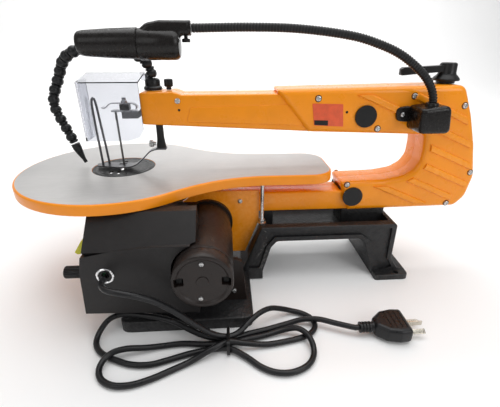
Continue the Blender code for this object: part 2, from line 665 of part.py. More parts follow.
def make_lamp():
    box = prism([(376, 213), (375, 243), (411, 247), (416, 213)], "Y", -62, -27.6)
    soften(box, 3)
    unite(box, prism([(357, 238), (376, 243), (376, 226), (362, 226)], "Y", -30.6, -27.6))
    cut(box, disc((394, LAMP_Y), "Z", 5.6, 236, 260, 16))
    finish(box, "lamp_base", BLACK_PLASTIC)
    route = [
        (394, LAMP_Y, 236.5), (394, LAMP_Y, 252), (387, LAMP_Y, 268), (372, LAMP_Y, 284),
        (346, LAMP_Y, 301.5), (318, LAMP_Y, 313), (283, LAMP_Y, 322), (226, LAMP_Y, 328.5),
        (171, LAMP_Y, 330), (107.5, LAMP_Y, 329),
    ]
    neck = smooth_route(route, 14)
    finish(swept(neck, [5.0] * len(neck), 12), "lamp_neck", DARK_STEEL)
    adaptor = turned((LAMP_Y, 329), "X", [(0, 71), (5.5, 71), (7.5, 74), (7.5, 107), (0, 107)], 20)
    hump = [(57, 325), (72, 335.5), (84, 335.5), (84, 320), (57, 320)]
    unite(adaptor, prism(hump, "Y", LAMP_Y - 5, LAMP_Y + 5))
    tube = turned((LAMP_Y, 313), "X", [
        (0, 50.3), (16, 50.3), (16, 60), (16, 92), (13.5, 94.5), (0, 94.5),
    ], 32)
    unite(adaptor, tube)
    thumb = turned((101, LAMP_Y), "Z", [
        (0, 315), (4.5, 315), (4.5, 318.4), (2, 319), (2, 325), (0, 325),
    ], 12)
    unite(adaptor, thumb)
    finish(adaptor, "lamp_rear", BLACK_PLASTIC, (0, LAMP_Y, 329))
    barrel = turned((LAMP_Y, 314), "X", [
        (0, 50), (15.8, 50), (12.2, -11), (10.5, -14.7), (9, -14.7), (9, -11.5), (0, -11.5),
    ], 32)
    finish(barrel, "lamp_barrel", BLACK_PLASTIC, (0, LAMP_Y, 329))
    lens = turned((LAMP_Y, 314), "X", [(0, -14), (7, -14), (8.7, -13), (8.7, -11.8), (0, -11.8)], 24)
    finish(lens, "lamp_lens", CLEAR, (0, LAMP_Y, 329))


# Power cord

CORD_ROUTE = [
    (8, -162, 87), (11, -170.5, 87.6), (18.5, -177, 87.7), (30, -179.5, 86.3), (45, -178, 80.5),
    (62, -174.5, 70), (82, -171.5, 52), (103, -171, 32), (121, -171.5, 18), (138, -170.6, 12.4),
    (151, -165, 13.2), (162, -155.5, 17.4), (175, -144.5, 20), (189, -135.5, 19), (203, -129.5, 12.6),
    (217, -126.5, 6), (231, -130, 3.8), (241, -139.5, 3.6), (242.5, -152.5, 3.6),
    (234.5, -163.5, 3.6), (220, -170, 3.6), (202, -174, 3.6), (180, -177.5, 4.5), (155, -178, 9),
    (138, -177.8, 12.2), (120, -186, 11), (98, -195, 4.5), (79, -204, 3.6), (58, -214, 3.6),
    (39, -219.5, 3.6), (21, -218.5, 3.6), (7, -209.5, 3.8), (3, -196, 6), (10, -184.5, 9.3),
    (25, -179.5, 10.6), (44, -176, 7), (62, -172, 4), (86, -170, 4), (112, -173, 4.6),
    (138, -174.2, 5.6), (160, -168, 4.4), (182, -163, 4), (203, -159, 6.5), (219, -162, 11),
    (230, -173.5, 9.6), (232.5, -190, 4.2), (223.5, -206, 3.6), (206.5, -214.5, 3.6),
    (189, -214.5, 3.6), (173, -207, 3.6), (156, -192, 4.2), (138, -181.4, 5.6), (118, -180.5, 4),
    (96, -184, 3.6), (75, -190.5, 3.6), (54, -196, 3.6), (34, -194.5, 3.6), (15, -187, 3.6),
    (-2, -177, 3.6), (-12, -163.5, 4), (-11, -149, 9.2), (-1, -139.5, 18.0), (16, -136, 20.9),
    (36, -138.5, 20.0), (58, -144, 19.8), (76, -151.5, 19.2), (92, -157, 13), (108, -162, 7.5),
    (123, -165.5, 5.6), (138, -167, 5.6), (160, -160, 4), (182, -154.5, 3.8), (199, -149.5, 3.8),
    (213, -145.5, 4), (229, -144.5, 7.5), (247, -149, 11), (266, -157, 11), (286, -165, 11),
]
CORD_EXIT = (8, -156 - GAP, 87)
PLUG_START = 291.3
CORD_STEP = 24.0
PLUG_Y = -165.0
PLUG_Z = 11.0


def make_cord():
    points = [CORD_EXIT] + smooth_route(CORD_ROUTE, CORD_STEP) + [(PLUG_START - GAP, PLUG_Y, PLUG_Z)]
    finish(wire(points, CORD_RADIUS), "power_cord", RUBBER)
    relief = turned((PLUG_Y, PLUG_Z), "X", [
        (0, PLUG_START), (6.5, PLUG_START), (6.5, 293.5), (5.2, 294), (5.2, 296.5),
        (6.4, 297), (6.4, 299.5), (5.4, 300), (5.4, 303), (6.8, 303.5), (6.8, 306), (6, 306.5), (7.5, 316), (0, 316),
    ], 16)
    plan = [
        (308, PLUG_Y - 7), (320, PLUG_Y - 17), (334, PLUG_Y - 20), (348, PLUG_Y - 19),
        (348, PLUG_Y + 19), (334, PLUG_Y + 20), (320, PLUG_Y + 17), (308, PLUG_Y + 7),
    ]
    body = soften(prism(plan, "Z", 1.5, 20.5), 2.5)
    unite(body, relief)
    finish(body, "plug_body", RUBBER)
    pins = block((348.3, PLUG_Y - 12, 6), (349.5, PLUG_Y + 12, 16))
    for y, z in ((-9, 9), (9, 9), (0, 13)):
        unite(pins, block((349, PLUG_Y + y - 3, z - 0.8), (367, PLUG_Y + y + 3, z + 0.8)))
    finish(pins, "plug_pins", BRASS)
    band = block((135.5, -189, 0.2), (140.5, -159.4, 19.4))
    cut(band, block((130, -187.8, 1.4), (146, -160.6, 18.2)))
    finish(band, "cord_tie", BLACK_PLASTIC)


def main():
    make_base()
    make_frame()
    make_arms()
    make_blade_set()
    make_tension()
    make_motor()
    make_controls()
    make_table()
    make_hold_down()
    make_guard()
    make_air_line()
    make_lamp()
    make_cord()


clear_scene()
saw = bpy.data.objects.new("saw", None)
bpy.context.scene.collection.objects.link(saw)
saw.location = (-FOOTPRINT_X * MM, -FOOTPRINT_Y * MM, 0)
main()
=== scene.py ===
"""Looks of the bench scroll saw: camera, light, floor, finishes and detailed pieces.

Every place below is in millimetres from the blade line on the floor, as in the CAD
source, and at() turns it into the frame's metres.
"""
import math

import bmesh
import bpy
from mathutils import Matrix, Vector


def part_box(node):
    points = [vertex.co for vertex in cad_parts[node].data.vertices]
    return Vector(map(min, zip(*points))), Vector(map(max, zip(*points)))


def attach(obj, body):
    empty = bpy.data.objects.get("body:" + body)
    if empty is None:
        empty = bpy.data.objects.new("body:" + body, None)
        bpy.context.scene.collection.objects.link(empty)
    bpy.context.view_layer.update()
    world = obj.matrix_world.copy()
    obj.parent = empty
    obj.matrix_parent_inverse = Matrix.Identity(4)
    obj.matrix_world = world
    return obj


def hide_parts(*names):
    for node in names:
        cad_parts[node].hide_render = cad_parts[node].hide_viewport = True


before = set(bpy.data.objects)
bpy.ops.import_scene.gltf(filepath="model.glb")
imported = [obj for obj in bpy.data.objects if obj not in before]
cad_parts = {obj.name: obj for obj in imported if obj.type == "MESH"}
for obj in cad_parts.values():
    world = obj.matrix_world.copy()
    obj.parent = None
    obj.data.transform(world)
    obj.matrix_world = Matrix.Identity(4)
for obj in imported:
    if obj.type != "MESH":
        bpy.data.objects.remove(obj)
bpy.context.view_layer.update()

MM = 0.001
blade_low, blade_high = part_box("blade")
ORIGIN = Vector(((blade_low.x + blade_high.x) / 2, (blade_low.y + blade_high.y) / 2, 0.0))


def at(x, y, z):
    return ORIGIN + Vector((x, y, z)) * MM


# Mesh helpers
FILLET_STEPS = 5


def across(along, u, v, axis):
    """Place the flat point (u, v), drawn across an axis, at a height along it."""
    if axis == "X":
        return at(along, u, v)
    if axis == "Y":
        return at(u, along, v)
    return at(u, v, along)


def circle(u, v, radius, sides, start=0.0, turn=360.0):
    steps = sides if turn < 360.0 else sides - 1
    angles = [math.radians(start + turn * i / sides) for i in range(steps + 1)]
    return [(u + radius * math.cos(a), v + radius * math.sin(a)) for a in angles]


def filleted(outline, radius):
    """Outline with every corner rounded. radius is one number or one for each corner."""
    made = []
    count = len(outline)
    for i, point in enumerate(outline):
        corner = Vector(point)
        before = Vector(outline[i - 1]) - corner
        after = Vector(outline[(i + 1) % count]) - corner
        wanted = radius[i] if isinstance(radius, list) else radius
        half = before.angle(after) / 2
        reach = min(max(wanted, 0.05) / math.tan(half), before.length * 0.48, after.length * 0.48)
        first = corner + before.normalized() * reach
        last = corner + after.normalized() * reach
        for step in range(FILLET_STEPS + 1):
            t = step / FILLET_STEPS
            made.append(tuple(first * (1 - t) ** 2 + corner * 2 * t * (1 - t) + last * t * t))
    return made


def inset(outline, distance):
    """Outline moved inwards by a distance, or outwards if it is negative."""
    points = [Vector(p) for p in outline]
    area = sum(a.x * b.y - b.x * a.y for a, b in zip(points, points[1:] + points[:1]))
    side = 1.0 if area > 0 else -1.0
    made = []
    for i, point in enumerate(points):
        before = (point - points[i - 1]).normalized()
        after = (points[(i + 1) % len(points)] - point).normalized()
        first = Vector((-before.y, before.x)) * side
        second = Vector((-after.y, after.x)) * side
        middle = (first + second).normalized()
        made.append(tuple(point + middle * distance / max(0.4, middle.dot(first))))
    return made


def ring_of(outline, radius, pull):
    """Rounded outline moved inwards, so that its convex corners tighten and the others open."""
    if radius is None:
        return inset(outline, pull) if pull else outline
    points = [Vector(p) for p in outline]
    area = sum(a.x * b.y - b.x * a.y for a, b in zip(points, points[1:] + points[:1]))
    radii = []
    for i, point in enumerate(points):
        before = point - points[i - 1]
        after = points[(i + 1) % len(points)] - point
        convex = (before.x * after.y - before.y * after.x) * area > 0
        wanted = radius[i] if isinstance(radius, list) else radius
        radii.append(max(0.3, wanted - pull) if convex else wanted + pull)
    return filleted(inset(outline, pull), radii)


def bridge(mesh, lower, upper, closed=True):
    count = max(len(lower), len(upper))
    for i in range(count if closed else count - 1):
        j = (i + 1) % count
        if len(lower) == 1:
            mesh.faces.new((lower[0], upper[i], upper[j]))
        elif len(upper) == 1:
            mesh.faces.new((lower[i], lower[j], upper[0]))
        else:
            mesh.faces.new((lower[i], lower[j], upper[j], upper[i]))


def plate(outline, axis, low, high, low_round=(0.0, 0.0), high_round=(0.0, 0.0), steps=5,
          radius=None):
    """Solid drawn across an axis. Each round is how far its edge pulls in and how deep."""
    levels = []
    for end, (pull, depth), inward in ((low, low_round, 1), (high, high_round, -1)):
        rings = [(0.0, end)] if pull == 0.0 else []
        if pull:
            for step in range(steps + 1):
                a = math.pi / 2 * step / steps
                rings.append((pull * (1 - math.sin(a)), end + inward * depth * (1 - math.cos(a))))
        levels.append(rings)
    mesh = bmesh.new()
    loops = []
    for pull, height in levels[0] + levels[1][::-1]:
        shape = ring_of(outline, radius, pull)
        loops.append([mesh.verts.new(across(height, u, v, axis)) for u, v in shape])
    mesh.faces.new(loops[0])
    for lower, upper in zip(loops, loops[1:]):
        bridge(mesh, lower, upper)
    mesh.faces.new(loops[-1])
    return mesh


def turned(centre, axis, profile, sides=32, wave=None):
    """Turn a profile of (radius, height) about an axis.

    wave is (count, depth, least radius) of the flutes cut into the wider rings.
    """
    mesh = bmesh.new()
    rings = []
    for radius, height in profile:
        if radius == 0.0:
            rings.append([mesh.verts.new(across(height, centre[0], centre[1], axis))])
            continue
        ring = []
        for i in range(sides):
            a = 2 * math.pi * i / sides
            r = radius
            if wave and radius > wave[2]:
                r -= wave[1] * (0.5 + 0.5 * math.cos(wave[0] * a)) ** 2
            ring.append(mesh.verts.new(
                across(height, centre[0] + r * math.cos(a), centre[1] + r * math.sin(a), axis)))
        rings.append(ring)
    pairs = list(zip(rings, rings[1:]))
    if profile[0][0] > 0.0:
        pairs.append((rings[-1], rings[0]))
    for lower, upper in pairs:
        bridge(mesh, lower, upper)
    return mesh


def smooth_route(route, spacing):
    """Evenly spaced points on a smooth curve through the route's points."""
    points = [Vector(p) for p in route]
    ends = [2 * points[0] - points[1]] + points + [2 * points[-1] - points[-2]]
    fine = []
    for a, b, c, d in zip(ends, ends[1:], ends[2:], ends[3:]):
        for step in range(24):
            t = step / 24
            fine.append(0.5 * (2 * b + (c - a) * t + (2 * a - 5 * b + 4 * c - d) * t**2
                               + (3 * b - a - 3 * c + d) * t**3))
    fine.append(points[-1])
    total = sum((q - p).length for p, q in zip(fine, fine[1:]))
    count = max(2, round(total / spacing))
    picked = [fine[0]]
    walked = 0.0
    for p, q in zip(fine, fine[1:]):
        length = (q - p).length
        while len(picked) < count and walked + length >= total / count * len(picked):
            picked.append(p.lerp(q, (total / count * len(picked) - walked) / max(length, 1e-9)))
        walked += length
    picked.append(fine[-1])
    return picked


def swept(points, radii, sides=16):
    """Closed tube along points in millimetres, with a radius at each point."""
    mesh = bmesh.new()
    rings = []
    side = Vector((0, 1, 0))
    for i, (point, radius) in enumerate(zip(points, radii)):
        ahead = (points[min(i + 1, len(points) - 1)] - points[max(i - 1, 0)]).normalized()
        side = (side - ahead * side.dot(ahead)).normalized()
        up = ahead.cross(side)
        ring = []
        for u, v in circle(0, 0, radius, sides):
            ring.append(mesh.verts.new(at(*(point + side * u + up * v))))
        rings.append(ring)
    for lower, upper in zip(rings, rings[1:]):
        bridge(mesh, lower, upper)
    mesh.faces.new(rings[0])
    mesh.faces.new(rings[-1])
    return mesh


def join(*meshes):
    """One mesh of several, each left as its own shell."""
    whole = bmesh.new()
    for part in meshes:
        held = bpy.data.meshes.new("held")
        part.to_mesh(held)
        part.free()
        whole.from_mesh(held)
        bpy.data.meshes.remove(held)
    return whole


def to_object(name, mesh, finish=None):
    data = bpy.data.meshes.new(name)
    bmesh.ops.recalc_face_normals(mesh, faces=mesh.faces)
    mesh.to_mesh(data)
    mesh.free()
    made = bpy.data.objects.new(name, data)
    bpy.context.scene.collection.objects.link(made)
    if finish is not None:
        data.materials.append(finish)
    return made


def apply_modifiers(made):
    bpy.context.view_layer.update()
    graph = bpy.context.evaluated_depsgraph_get()
    baked = bpy.data.meshes.new_from_object(made.evaluated_get(graph))
    made.modifiers.clear()
    made.data = baked


def combine(made, operation, *meshes):
    for mesh in meshes:
        tool = to_object("tool", mesh)
        step = made.modifiers.new("join", "BOOLEAN")
        step.operation = operation
        step.solver = "EXACT"
        step.object = tool
        apply_modifiers(made)
        bpy.data.objects.remove(tool, do_unlink=True)
    return made


def cut(made, *meshes):
    return combine(made, "DIFFERENCE", *meshes)


def unite(made, *meshes):
    return combine(made, "UNION", *meshes)


def bevel(made, width, segments=2, angle=35.0):
    step = made.modifiers.new("bevel", "BEVEL")
    step.width = width * MM
    step.segments = segments
    step.limit_method = "ANGLE"
    step.angle_limit = math.radians(angle)
    step.harden_normals = False
    step.use_clamp_overlap = True
    return made


def shade(made, angle=35.0):
    made.data.shade_smooth()
    made.data.set_sharp_from_angle(angle=math.radians(angle))
    return made


def place(name, mesh, body, finish, stands_for=(), edge=0.0, angle=35.0):
    """Make a piece, smooth it, and let it ride on its body."""
    made = to_object(name, mesh, finish) if isinstance(mesh, bmesh.types.BMesh) else mesh
    made.name = name
    if not isinstance(mesh, bmesh.types.BMesh):
        made.data.materials.clear()
        made.data.materials.append(finish)
    if edge:
        bevel(made, edge)
    shade(made, angle)
    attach(made, body)
    if stands_for:
        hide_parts(*stands_for)
    return made


def dress(node, finish, edge=0.0, segments=2):
    """Give a CAD node its finish and a softened edge."""
    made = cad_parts[node]
    made.data.materials.clear()
    made.data.materials.append(finish)
    if edge:
        bevel(made, edge, segments)
    return made


# Materials


class Finish:
    """Principled material with noise-driven colour, roughness and bump."""

    def __init__(self, name, colour, roughness, metallic=0.0):
        self.material = bpy.data.materials.new(name)
        self.material.use_nodes = True
        self.tree = self.material.node_tree
        self.shader = self.tree.nodes["Principled BSDF"]
        self.colour = colour
        self.roughness = roughness
        self.shader.inputs["Base Color"].default_value = (*colour, 1.0)
        self.shader.inputs["Roughness"].default_value = roughness
        self.shader.inputs["Metallic"].default_value = metallic
        self.place = self.node("ShaderNodeTexCoord").outputs["Object"]
        self.normal = None

    def node(self, kind, **inputs):
        made = self.tree.nodes.new(kind)
        for key, value in inputs.items():
            made.inputs[key.replace("_", " ")].default_value = value
        return made

    def link(self, out, target):
        self.tree.links.new(out, target)

    def stretched(self, stretch):
        mapping = self.node("ShaderNodeMapping", Scale=stretch)
        self.link(self.place, mapping.inputs["Vector"])
        return mapping.outputs["Vector"]

    def noise(self, scale, detail=4.0, stretch=None, rough=0.55):
        made = self.node("ShaderNodeTexNoise", Scale=scale, Detail=detail, Roughness=rough)
        where = self.stretched(stretch) if stretch else self.place
        self.link(where, made.inputs["Vector"])
        return made.outputs["Fac"]

    def ramp(self, value, low, high, start=0.0, end=1.0):
        made = self.node("ShaderNodeMapRange")
        made.inputs["From Min"].default_value = low
        made.inputs["From Max"].default_value = high
        made.inputs["To Min"].default_value = start
        made.inputs["To Max"].default_value = end
        self.link(value, made.inputs["Value"])
        return made.outputs["Result"]

    def mix(self, amount, first, second):
        made = self.node("ShaderNodeMix")
        made.data_type = "RGBA"
        self.link(amount, made.inputs["Factor"])
        colours = [s for s in made.inputs if s.type == "RGBA"]
        for socket, value in zip(colours, (first, second)):
            if isinstance(value, tuple):
                socket.default_value = (*value, 1.0)
            else:
                self.link(value, socket)
        return [s for s in made.outputs if s.type == "RGBA"][0]

    def tint(self, value, dark, light, low=0.3, high=0.7):
        """Colour that runs between two tones of the base colour."""
        first = tuple(c * dark for c in self.colour)
        second = tuple(min(1.0, c * light) for c in self.colour)
        out = self.mix(self.ramp(value, low, high), first, second)
        self.link(out, self.shader.inputs["Base Color"])
        return out

    def gloss(self, value, change, low=0.3, high=0.7):
        """Roughness that varies about its middle value."""
        out = self.ramp(value, low, high, self.roughness - change, self.roughness + change)
        self.link(out, self.shader.inputs["Roughness"])

    def bump(self, value, height, strength=1.0):
        made = self.node("ShaderNodeBump", Strength=strength, Distance=height * MM)
        self.link(value, made.inputs["Height"])
        if self.normal is not None:
            self.link(self.normal, made.inputs["Normal"])
        self.normal = made.outputs["Normal"]
        self.link(self.normal, self.shader.inputs["Normal"])

    def edge_highlight(self, base, highlight, low, high):
        """Painted highlight: a lighter tone on the sharpest edges, broken up by noise."""
        geometry = self.node("ShaderNodeNewGeometry")
        edge = self.ramp(geometry.outputs["Pointiness"], low, high)
        patch = self.ramp(self.noise(260.0), 0.42, 0.62)
        both = self.node("ShaderNodeMath")
        both.operation = "MULTIPLY"
        self.link(edge, both.inputs[0])
        self.link(patch, both.inputs[1])
        out = self.mix(both.outputs["Value"], base, highlight)
        self.link(out, self.shader.inputs["Base Color"])


def painted(name, colour, roughness=0.3):
    made = Finish(name, colour, roughness)
    base = made.tint(made.noise(22.0, 3.0), 0.93, 1.05)
    # A lighter copy of the orange on the sharpest edges: painted highlight.
    made.edge_highlight(base, tuple(min(1.0, c * 1.12 + 0.03) for c in colour), 0.53, 0.6)
    made.gloss(made.noise(60.0, 5.0), 0.06)
    made.bump(made.noise(420.0, 2.0), 0.05, 0.35)
    made.bump(made.noise(2600.0, 3.0), 0.012, 0.3)
    made.shader.inputs["Specular IOR Level"].default_value = 0.35
    made.shader.inputs["Coat Weight"].default_value = 0.2
    made.shader.inputs["Coat Roughness"].default_value = 0.12
    return made.material


def hammered(name, colour, roughness=0.42):
    made = Finish(name, colour, roughness, 0.25)
    cells = made.node("ShaderNodeTexVoronoi", Scale=420.0)
    cells.feature = "SMOOTH_F1"
    made.link(made.place, cells.inputs["Vector"])
    grain = made.noise(900.0, 5.0)
    base = made.tint(made.noise(150.0, 6.0), 0.6, 1.5)
    # Grey on the sharpest edges of the black iron: painted highlight.
    made.edge_highlight(base, (0.11, 0.105, 0.1), 0.53, 0.62)
    made.gloss(grain, 0.14)
    made.bump(cells.outputs["Distance"], 0.9, 0.55)
    made.bump(grain, 0.25, 0.5)
    return made.material


def moulded(name, colour, roughness=0.42, grain=1500.0, depth=0.02):
    made = Finish(name, colour, roughness)
    made.shader.inputs["Specular IOR Level"].default_value = 0.32
    made.tint(made.noise(70.0, 5.0), 0.9, 1.1)
    made.gloss(made.noise(240.0, 6.0), 0.1)
    made.bump(made.noise(grain, 3.0), depth, 0.5)
    return made.material


def steel(name, colour, roughness=0.28, stretch=(1.0, 14.0, 1.0)):
    made = Finish(name, colour, roughness, 1.0)
    lines = made.noise(320.0, 6.0, stretch)
    made.tint(lines, 0.72, 1.15)
    made.gloss(lines, 0.12)
    made.bump(lines, 0.02, 0.4)
    return made.material


ORANGE = painted("orange_paint", (0.94, 0.30, 0.001))
TABLE_PAINT = painted("table_rim_paint", (0.93, 0.29, 0.001), 0.36)
IRON = hammered("black_cast_iron", (0.016, 0.016, 0.017))
BLACK = moulded("black_moulding", (0.007, 0.007, 0.0075), 0.36)
BOX_BLACK = moulded("control_box_moulding", (0.013, 0.0115, 0.0115), 0.44, 1400.0, 0.03)
LAMP_BLACK = moulded("lamp_moulding", (0.0065, 0.005, 0.0045), 0.27)
MOTOR_BROWN = moulded("motor_enamel", (0.017, 0.012, 0.0105), 0.36)
HOSE_BLACK = moulded("hose_moulding", (0.011, 0.012, 0.013), 0.3, 2200.0, 0.015)
CORD_BLACK = moulded("cord_sheath", (0.010, 0.010, 0.011), 0.34, 1800.0, 0.015)
YELLOW = moulded("switch_yellow", (0.66, 0.62, 0.05), 0.4)
BRIGHT = steel("bright_steel", (0.62, 0.62, 0.62))
DARK_STEEL = steel("dark_steel", (0.13, 0.13, 0.14), 0.34)
BLADE_STEEL = steel("blade_steel", (0.16, 0.155, 0.15), 0.32, (14.0, 1.0, 1.0))
CAST_ALLOY = steel("cast_alloy", (0.30, 0.30, 0.30), 0.42, (1.0, 2.0, 1.0))
BRONZE = steel("bearing_bronze", (0.62, 0.40, 0.17), 0.3)
PIN_METAL = steel("plug_pin_metal", (0.62, 0.58, 0.5), 0.26, (14.0, 1.0, 1.0))
BOARD = moulded("circuit_board", (0.02, 0.16, 0.05), 0.4)
CHROME = steel("chrome_ring", (0.85, 0.85, 0.86), 0.14)


def brushed_table():
    made = Finish("brushed_table", (0.56, 0.55, 0.54), 0.42, 0.65)
    lines = made.noise(60.0, 8.0, (1.0, 16.0, 1.0), 0.7)
    cloud = made.noise(14.0, 4.0)
    both = made.node("ShaderNodeMath")
    both.operation = "MULTIPLY"
    made.link(made.ramp(lines, 0.25, 0.75, 0.72, 1.15), both.inputs[0])
    made.link(made.ramp(cloud, 0.3, 0.7, 0.88, 1.08), both.inputs[1])
    made.tint(both.outputs["Value"], 0.86, 1.12, 0.75, 1.15)
    made.gloss(lines, 0.1)
    made.bump(lines, 0.03, 0.4)
    made.shader.inputs["Anisotropic"].default_value = 0.4
    return made.material


def clear_plastic():
    made = Finish("clear_guard", (0.64, 0.65, 0.69), 0.06)
    made.shader.inputs["Transmission Weight"].default_value = 1.0
    made.shader.inputs["IOR"].default_value = 1.42
    smear = made.noise(45.0, 6.0)
    made.tint(smear, 0.96, 1.0)
    made.gloss(smear, 0.03)
    made.bump(made.noise(30.0, 2.0), 0.08, 0.15)
    return made.material


def lens_glass():
    made = Finish("lamp_lens_glass", (0.9, 0.9, 0.85), 0.1)
    made.shader.inputs["Transmission Weight"].default_value = 0.85
    made.gloss(made.noise(300.0), 0.04)
    made.bump(made.noise(800.0), 0.05, 0.4)
    return made.material


def label_face():
    made = Finish("label_print", (0.74, 0.10, 0.03), 0.4)
    made.tint(made.noise(130.0, 5.0), 0.9, 1.12)
    made.gloss(made.noise(300.0), 0.08)
    made.bump(made.noise(1500.0), 0.01, 0.3)
    return made.material


TABLE_TOP_METAL = brushed_table()
CLEAR = clear_plastic()
LENS = lens_glass()
LABEL = label_face()
# Near-black: painted shade in the housing's screw recesses and small holes, and the brush caps' own dark
# colour.
CAP_AND_SHADE_BLACK = moulded("seam_shadow", (0.004, 0.004, 0.004), 0.7)
SMOKE = moulded("label_bar", (0.010, 0.009, 0.009), 0.4)


# Camera, cord

CAMERA_YAW = 0.0646
CAMERA_PITCH = 0.4295
eye = bpy.data.cameras.new("camera")
eye.lens = 24.867
eye.sensor_width = 36.0
eye.clip_start = 0.01
camera = bpy.data.objects.new("camera", eye)
bpy.context.scene.collection.objects.link(camera)
camera.location = at(143.55, -464.56, 312.12)
forward = Vector((math.sin(CAMERA_YAW) * math.cos(CAMERA_PITCH),
                  math.cos(CAMERA_YAW) * math.cos(CAMERA_PITCH), -math.sin(CAMERA_PITCH)))
camera.rotation_euler = forward.to_track_quat("-Z", "Y").to_euler()
bpy.context.scene.camera = camera

CORD_RADIUS = 3.3
CORD_EXIT = (8, -156.3, 87)
PLUG_START = 291.3
PLUG_Y = -165.0
PLUG_Z = 11.0
CORD_ROUTE = [
    (8, -162, 87), (11, -170.5, 87.6), (18.5, -177, 87.7), (30, -179.5, 86.3), (45, -178, 80.5),
    (62, -174.5, 70), (82, -171.5, 52), (103, -171, 32), (121, -171.5, 18), (138, -170.6, 12.4),
    (151, -165, 13.2), (162, -155.5, 17.4), (175, -144.5, 20), (189, -135.5, 19), (203, -129.5, 12.6),
    (217, -126.5, 6), (231, -130, 3.8), (241, -139.5, 3.6), (242.5, -152.5, 3.6),
    (234.5, -163.5, 3.6), (220, -170, 3.6), (202, -174, 3.6), (180, -177.5, 4.5), (155, -178, 9),
    (138, -177.8, 12.2), (120, -186, 11), (98, -195, 4.5), (79, -204, 3.6), (58, -214, 3.6),
    (39, -219.5, 3.6), (21, -218.5, 3.6), (7, -209.5, 3.8), (3, -196, 6), (10, -184.5, 9.3),
    (25, -179.5, 10.6), (44, -176, 7), (62, -172, 4), (86, -170, 4), (112, -173, 4.6),
    (138, -174.2, 5.6), (160, -168, 4.4), (182, -163, 4), (203, -159, 6.5), (219, -162, 11),
    (230, -173.5, 9.6), (232.5, -190, 4.2), (223.5, -206, 3.6), (206.5, -214.5, 3.6),
    (189, -214.5, 3.6), (173, -207, 3.6), (156, -192, 4.2), (138, -181.4, 5.6), (118, -180.5, 4),
    (96, -184, 3.6), (75, -190.5, 3.6), (54, -196, 3.6), (34, -194.5, 3.6), (15, -187, 3.6),
    (-2, -177, 3.6), (-12, -163.5, 4), (-11, -149, 9.2), (-1, -139.5, 18.0), (16, -136, 20.9),
    (36, -138.5, 20.0), (58, -144, 19.8), (76, -151.5, 19.2), (92, -157, 13), (108, -162, 7.5),
    (123, -165.5, 5.6), (138, -167, 5.6), (160, -160, 4), (182, -154.5, 3.8), (199, -149.5, 3.8),
    (213, -145.5, 4), (229, -144.5, 7.5), (247, -149, 11), (266, -157, 11), (286, -165, 11),
]


def make_plug():
    plan = [
        (308, PLUG_Y - 7), (320, PLUG_Y - 17), (334, PLUG_Y - 20), (348, PLUG_Y - 19),
        (348, PLUG_Y + 19), (334, PLUG_Y + 20), (320, PLUG_Y + 17), (308, PLUG_Y + 7),
    ]
    body = to_object("plug", plate(plan, "Z", 1.5, 20.5, (5, 5), (5, 5), radius=5.0))
    ribs = [(0, PLUG_START)]
    reach = 291.3
    while reach < 306:
        ribs += [(5.0, reach), (6.3, reach + 0.4), (6.3, reach + 2.2), (5.0, reach + 2.6)]
        reach += 3.7
    ribs += [(6.0, 307), (7.4, 314), (7.4, 318), (0, 318)]
    unite(body, turned((PLUG_Y, PLUG_Z), "X", ribs, 28))
    grips = [plate([(322 + 6 * i, PLUG_Y - 13), (325 + 6 * i, PLUG_Y - 13),
                    (325 + 6 * i, PLUG_Y + 13), (322 + 6 * i, PLUG_Y + 13)],
                   "Z", 19.9, 24, radius=1.4) for i in range(4)]
    cut(body, *grips)
    plug = place("plug", body, "saw_body", CORD_BLACK, ["plug_body"], angle=40)
    shapes = [plate([(PLUG_Y - 12, 6), (PLUG_Y + 12, 6), (PLUG_Y + 12, 16),
                     (PLUG_Y - 12, 16)], "X", 348.1, 349.3, (0, 0), (0.4, 0.4), radius=3)]
    for y, z, tilt in ((-9, 9, 30), (9, 9, -30), (0, 13, 90)):
        half = 3.0
        c, s = math.cos(math.radians(tilt)) * half, math.sin(math.radians(tilt)) * half
        n, m = -math.sin(math.radians(tilt)) * 0.8, math.cos(math.radians(tilt)) * 0.8
        yy = PLUG_Y + y
        flat = [(yy - c - n, z - s - m), (yy + c - n, z + s - m), (yy + c + n, z + s + m),
                (yy - c + n, z - s + m)]
        shapes.append(plate(flat, "X", 349, 367, (0, 0), (0.6, 1.2), radius=0.5))
    blades = place("plug_blades", join(*shapes), "saw_body", PIN_METAL, ["plug_pins"])
    return plug, blades


def make_tie():
    band = plate([(-189, 0.3), (-159.4, 0.3), (-159.4, 19.4), (-189, 19.4)],
                 "X", 136.3, 139.7, radius=6.0)
    made = to_object("tie", band)
    hole = filleted([(-188, 1.3), (-160.4, 1.3), (-160.4, 18.4), (-188, 18.4)], 5.2)
    cut(made, plate(hole, "X", 130, 146))
    return place("cord_band", made, "saw_body", BLACK, ["cord_tie"], edge=0.3)


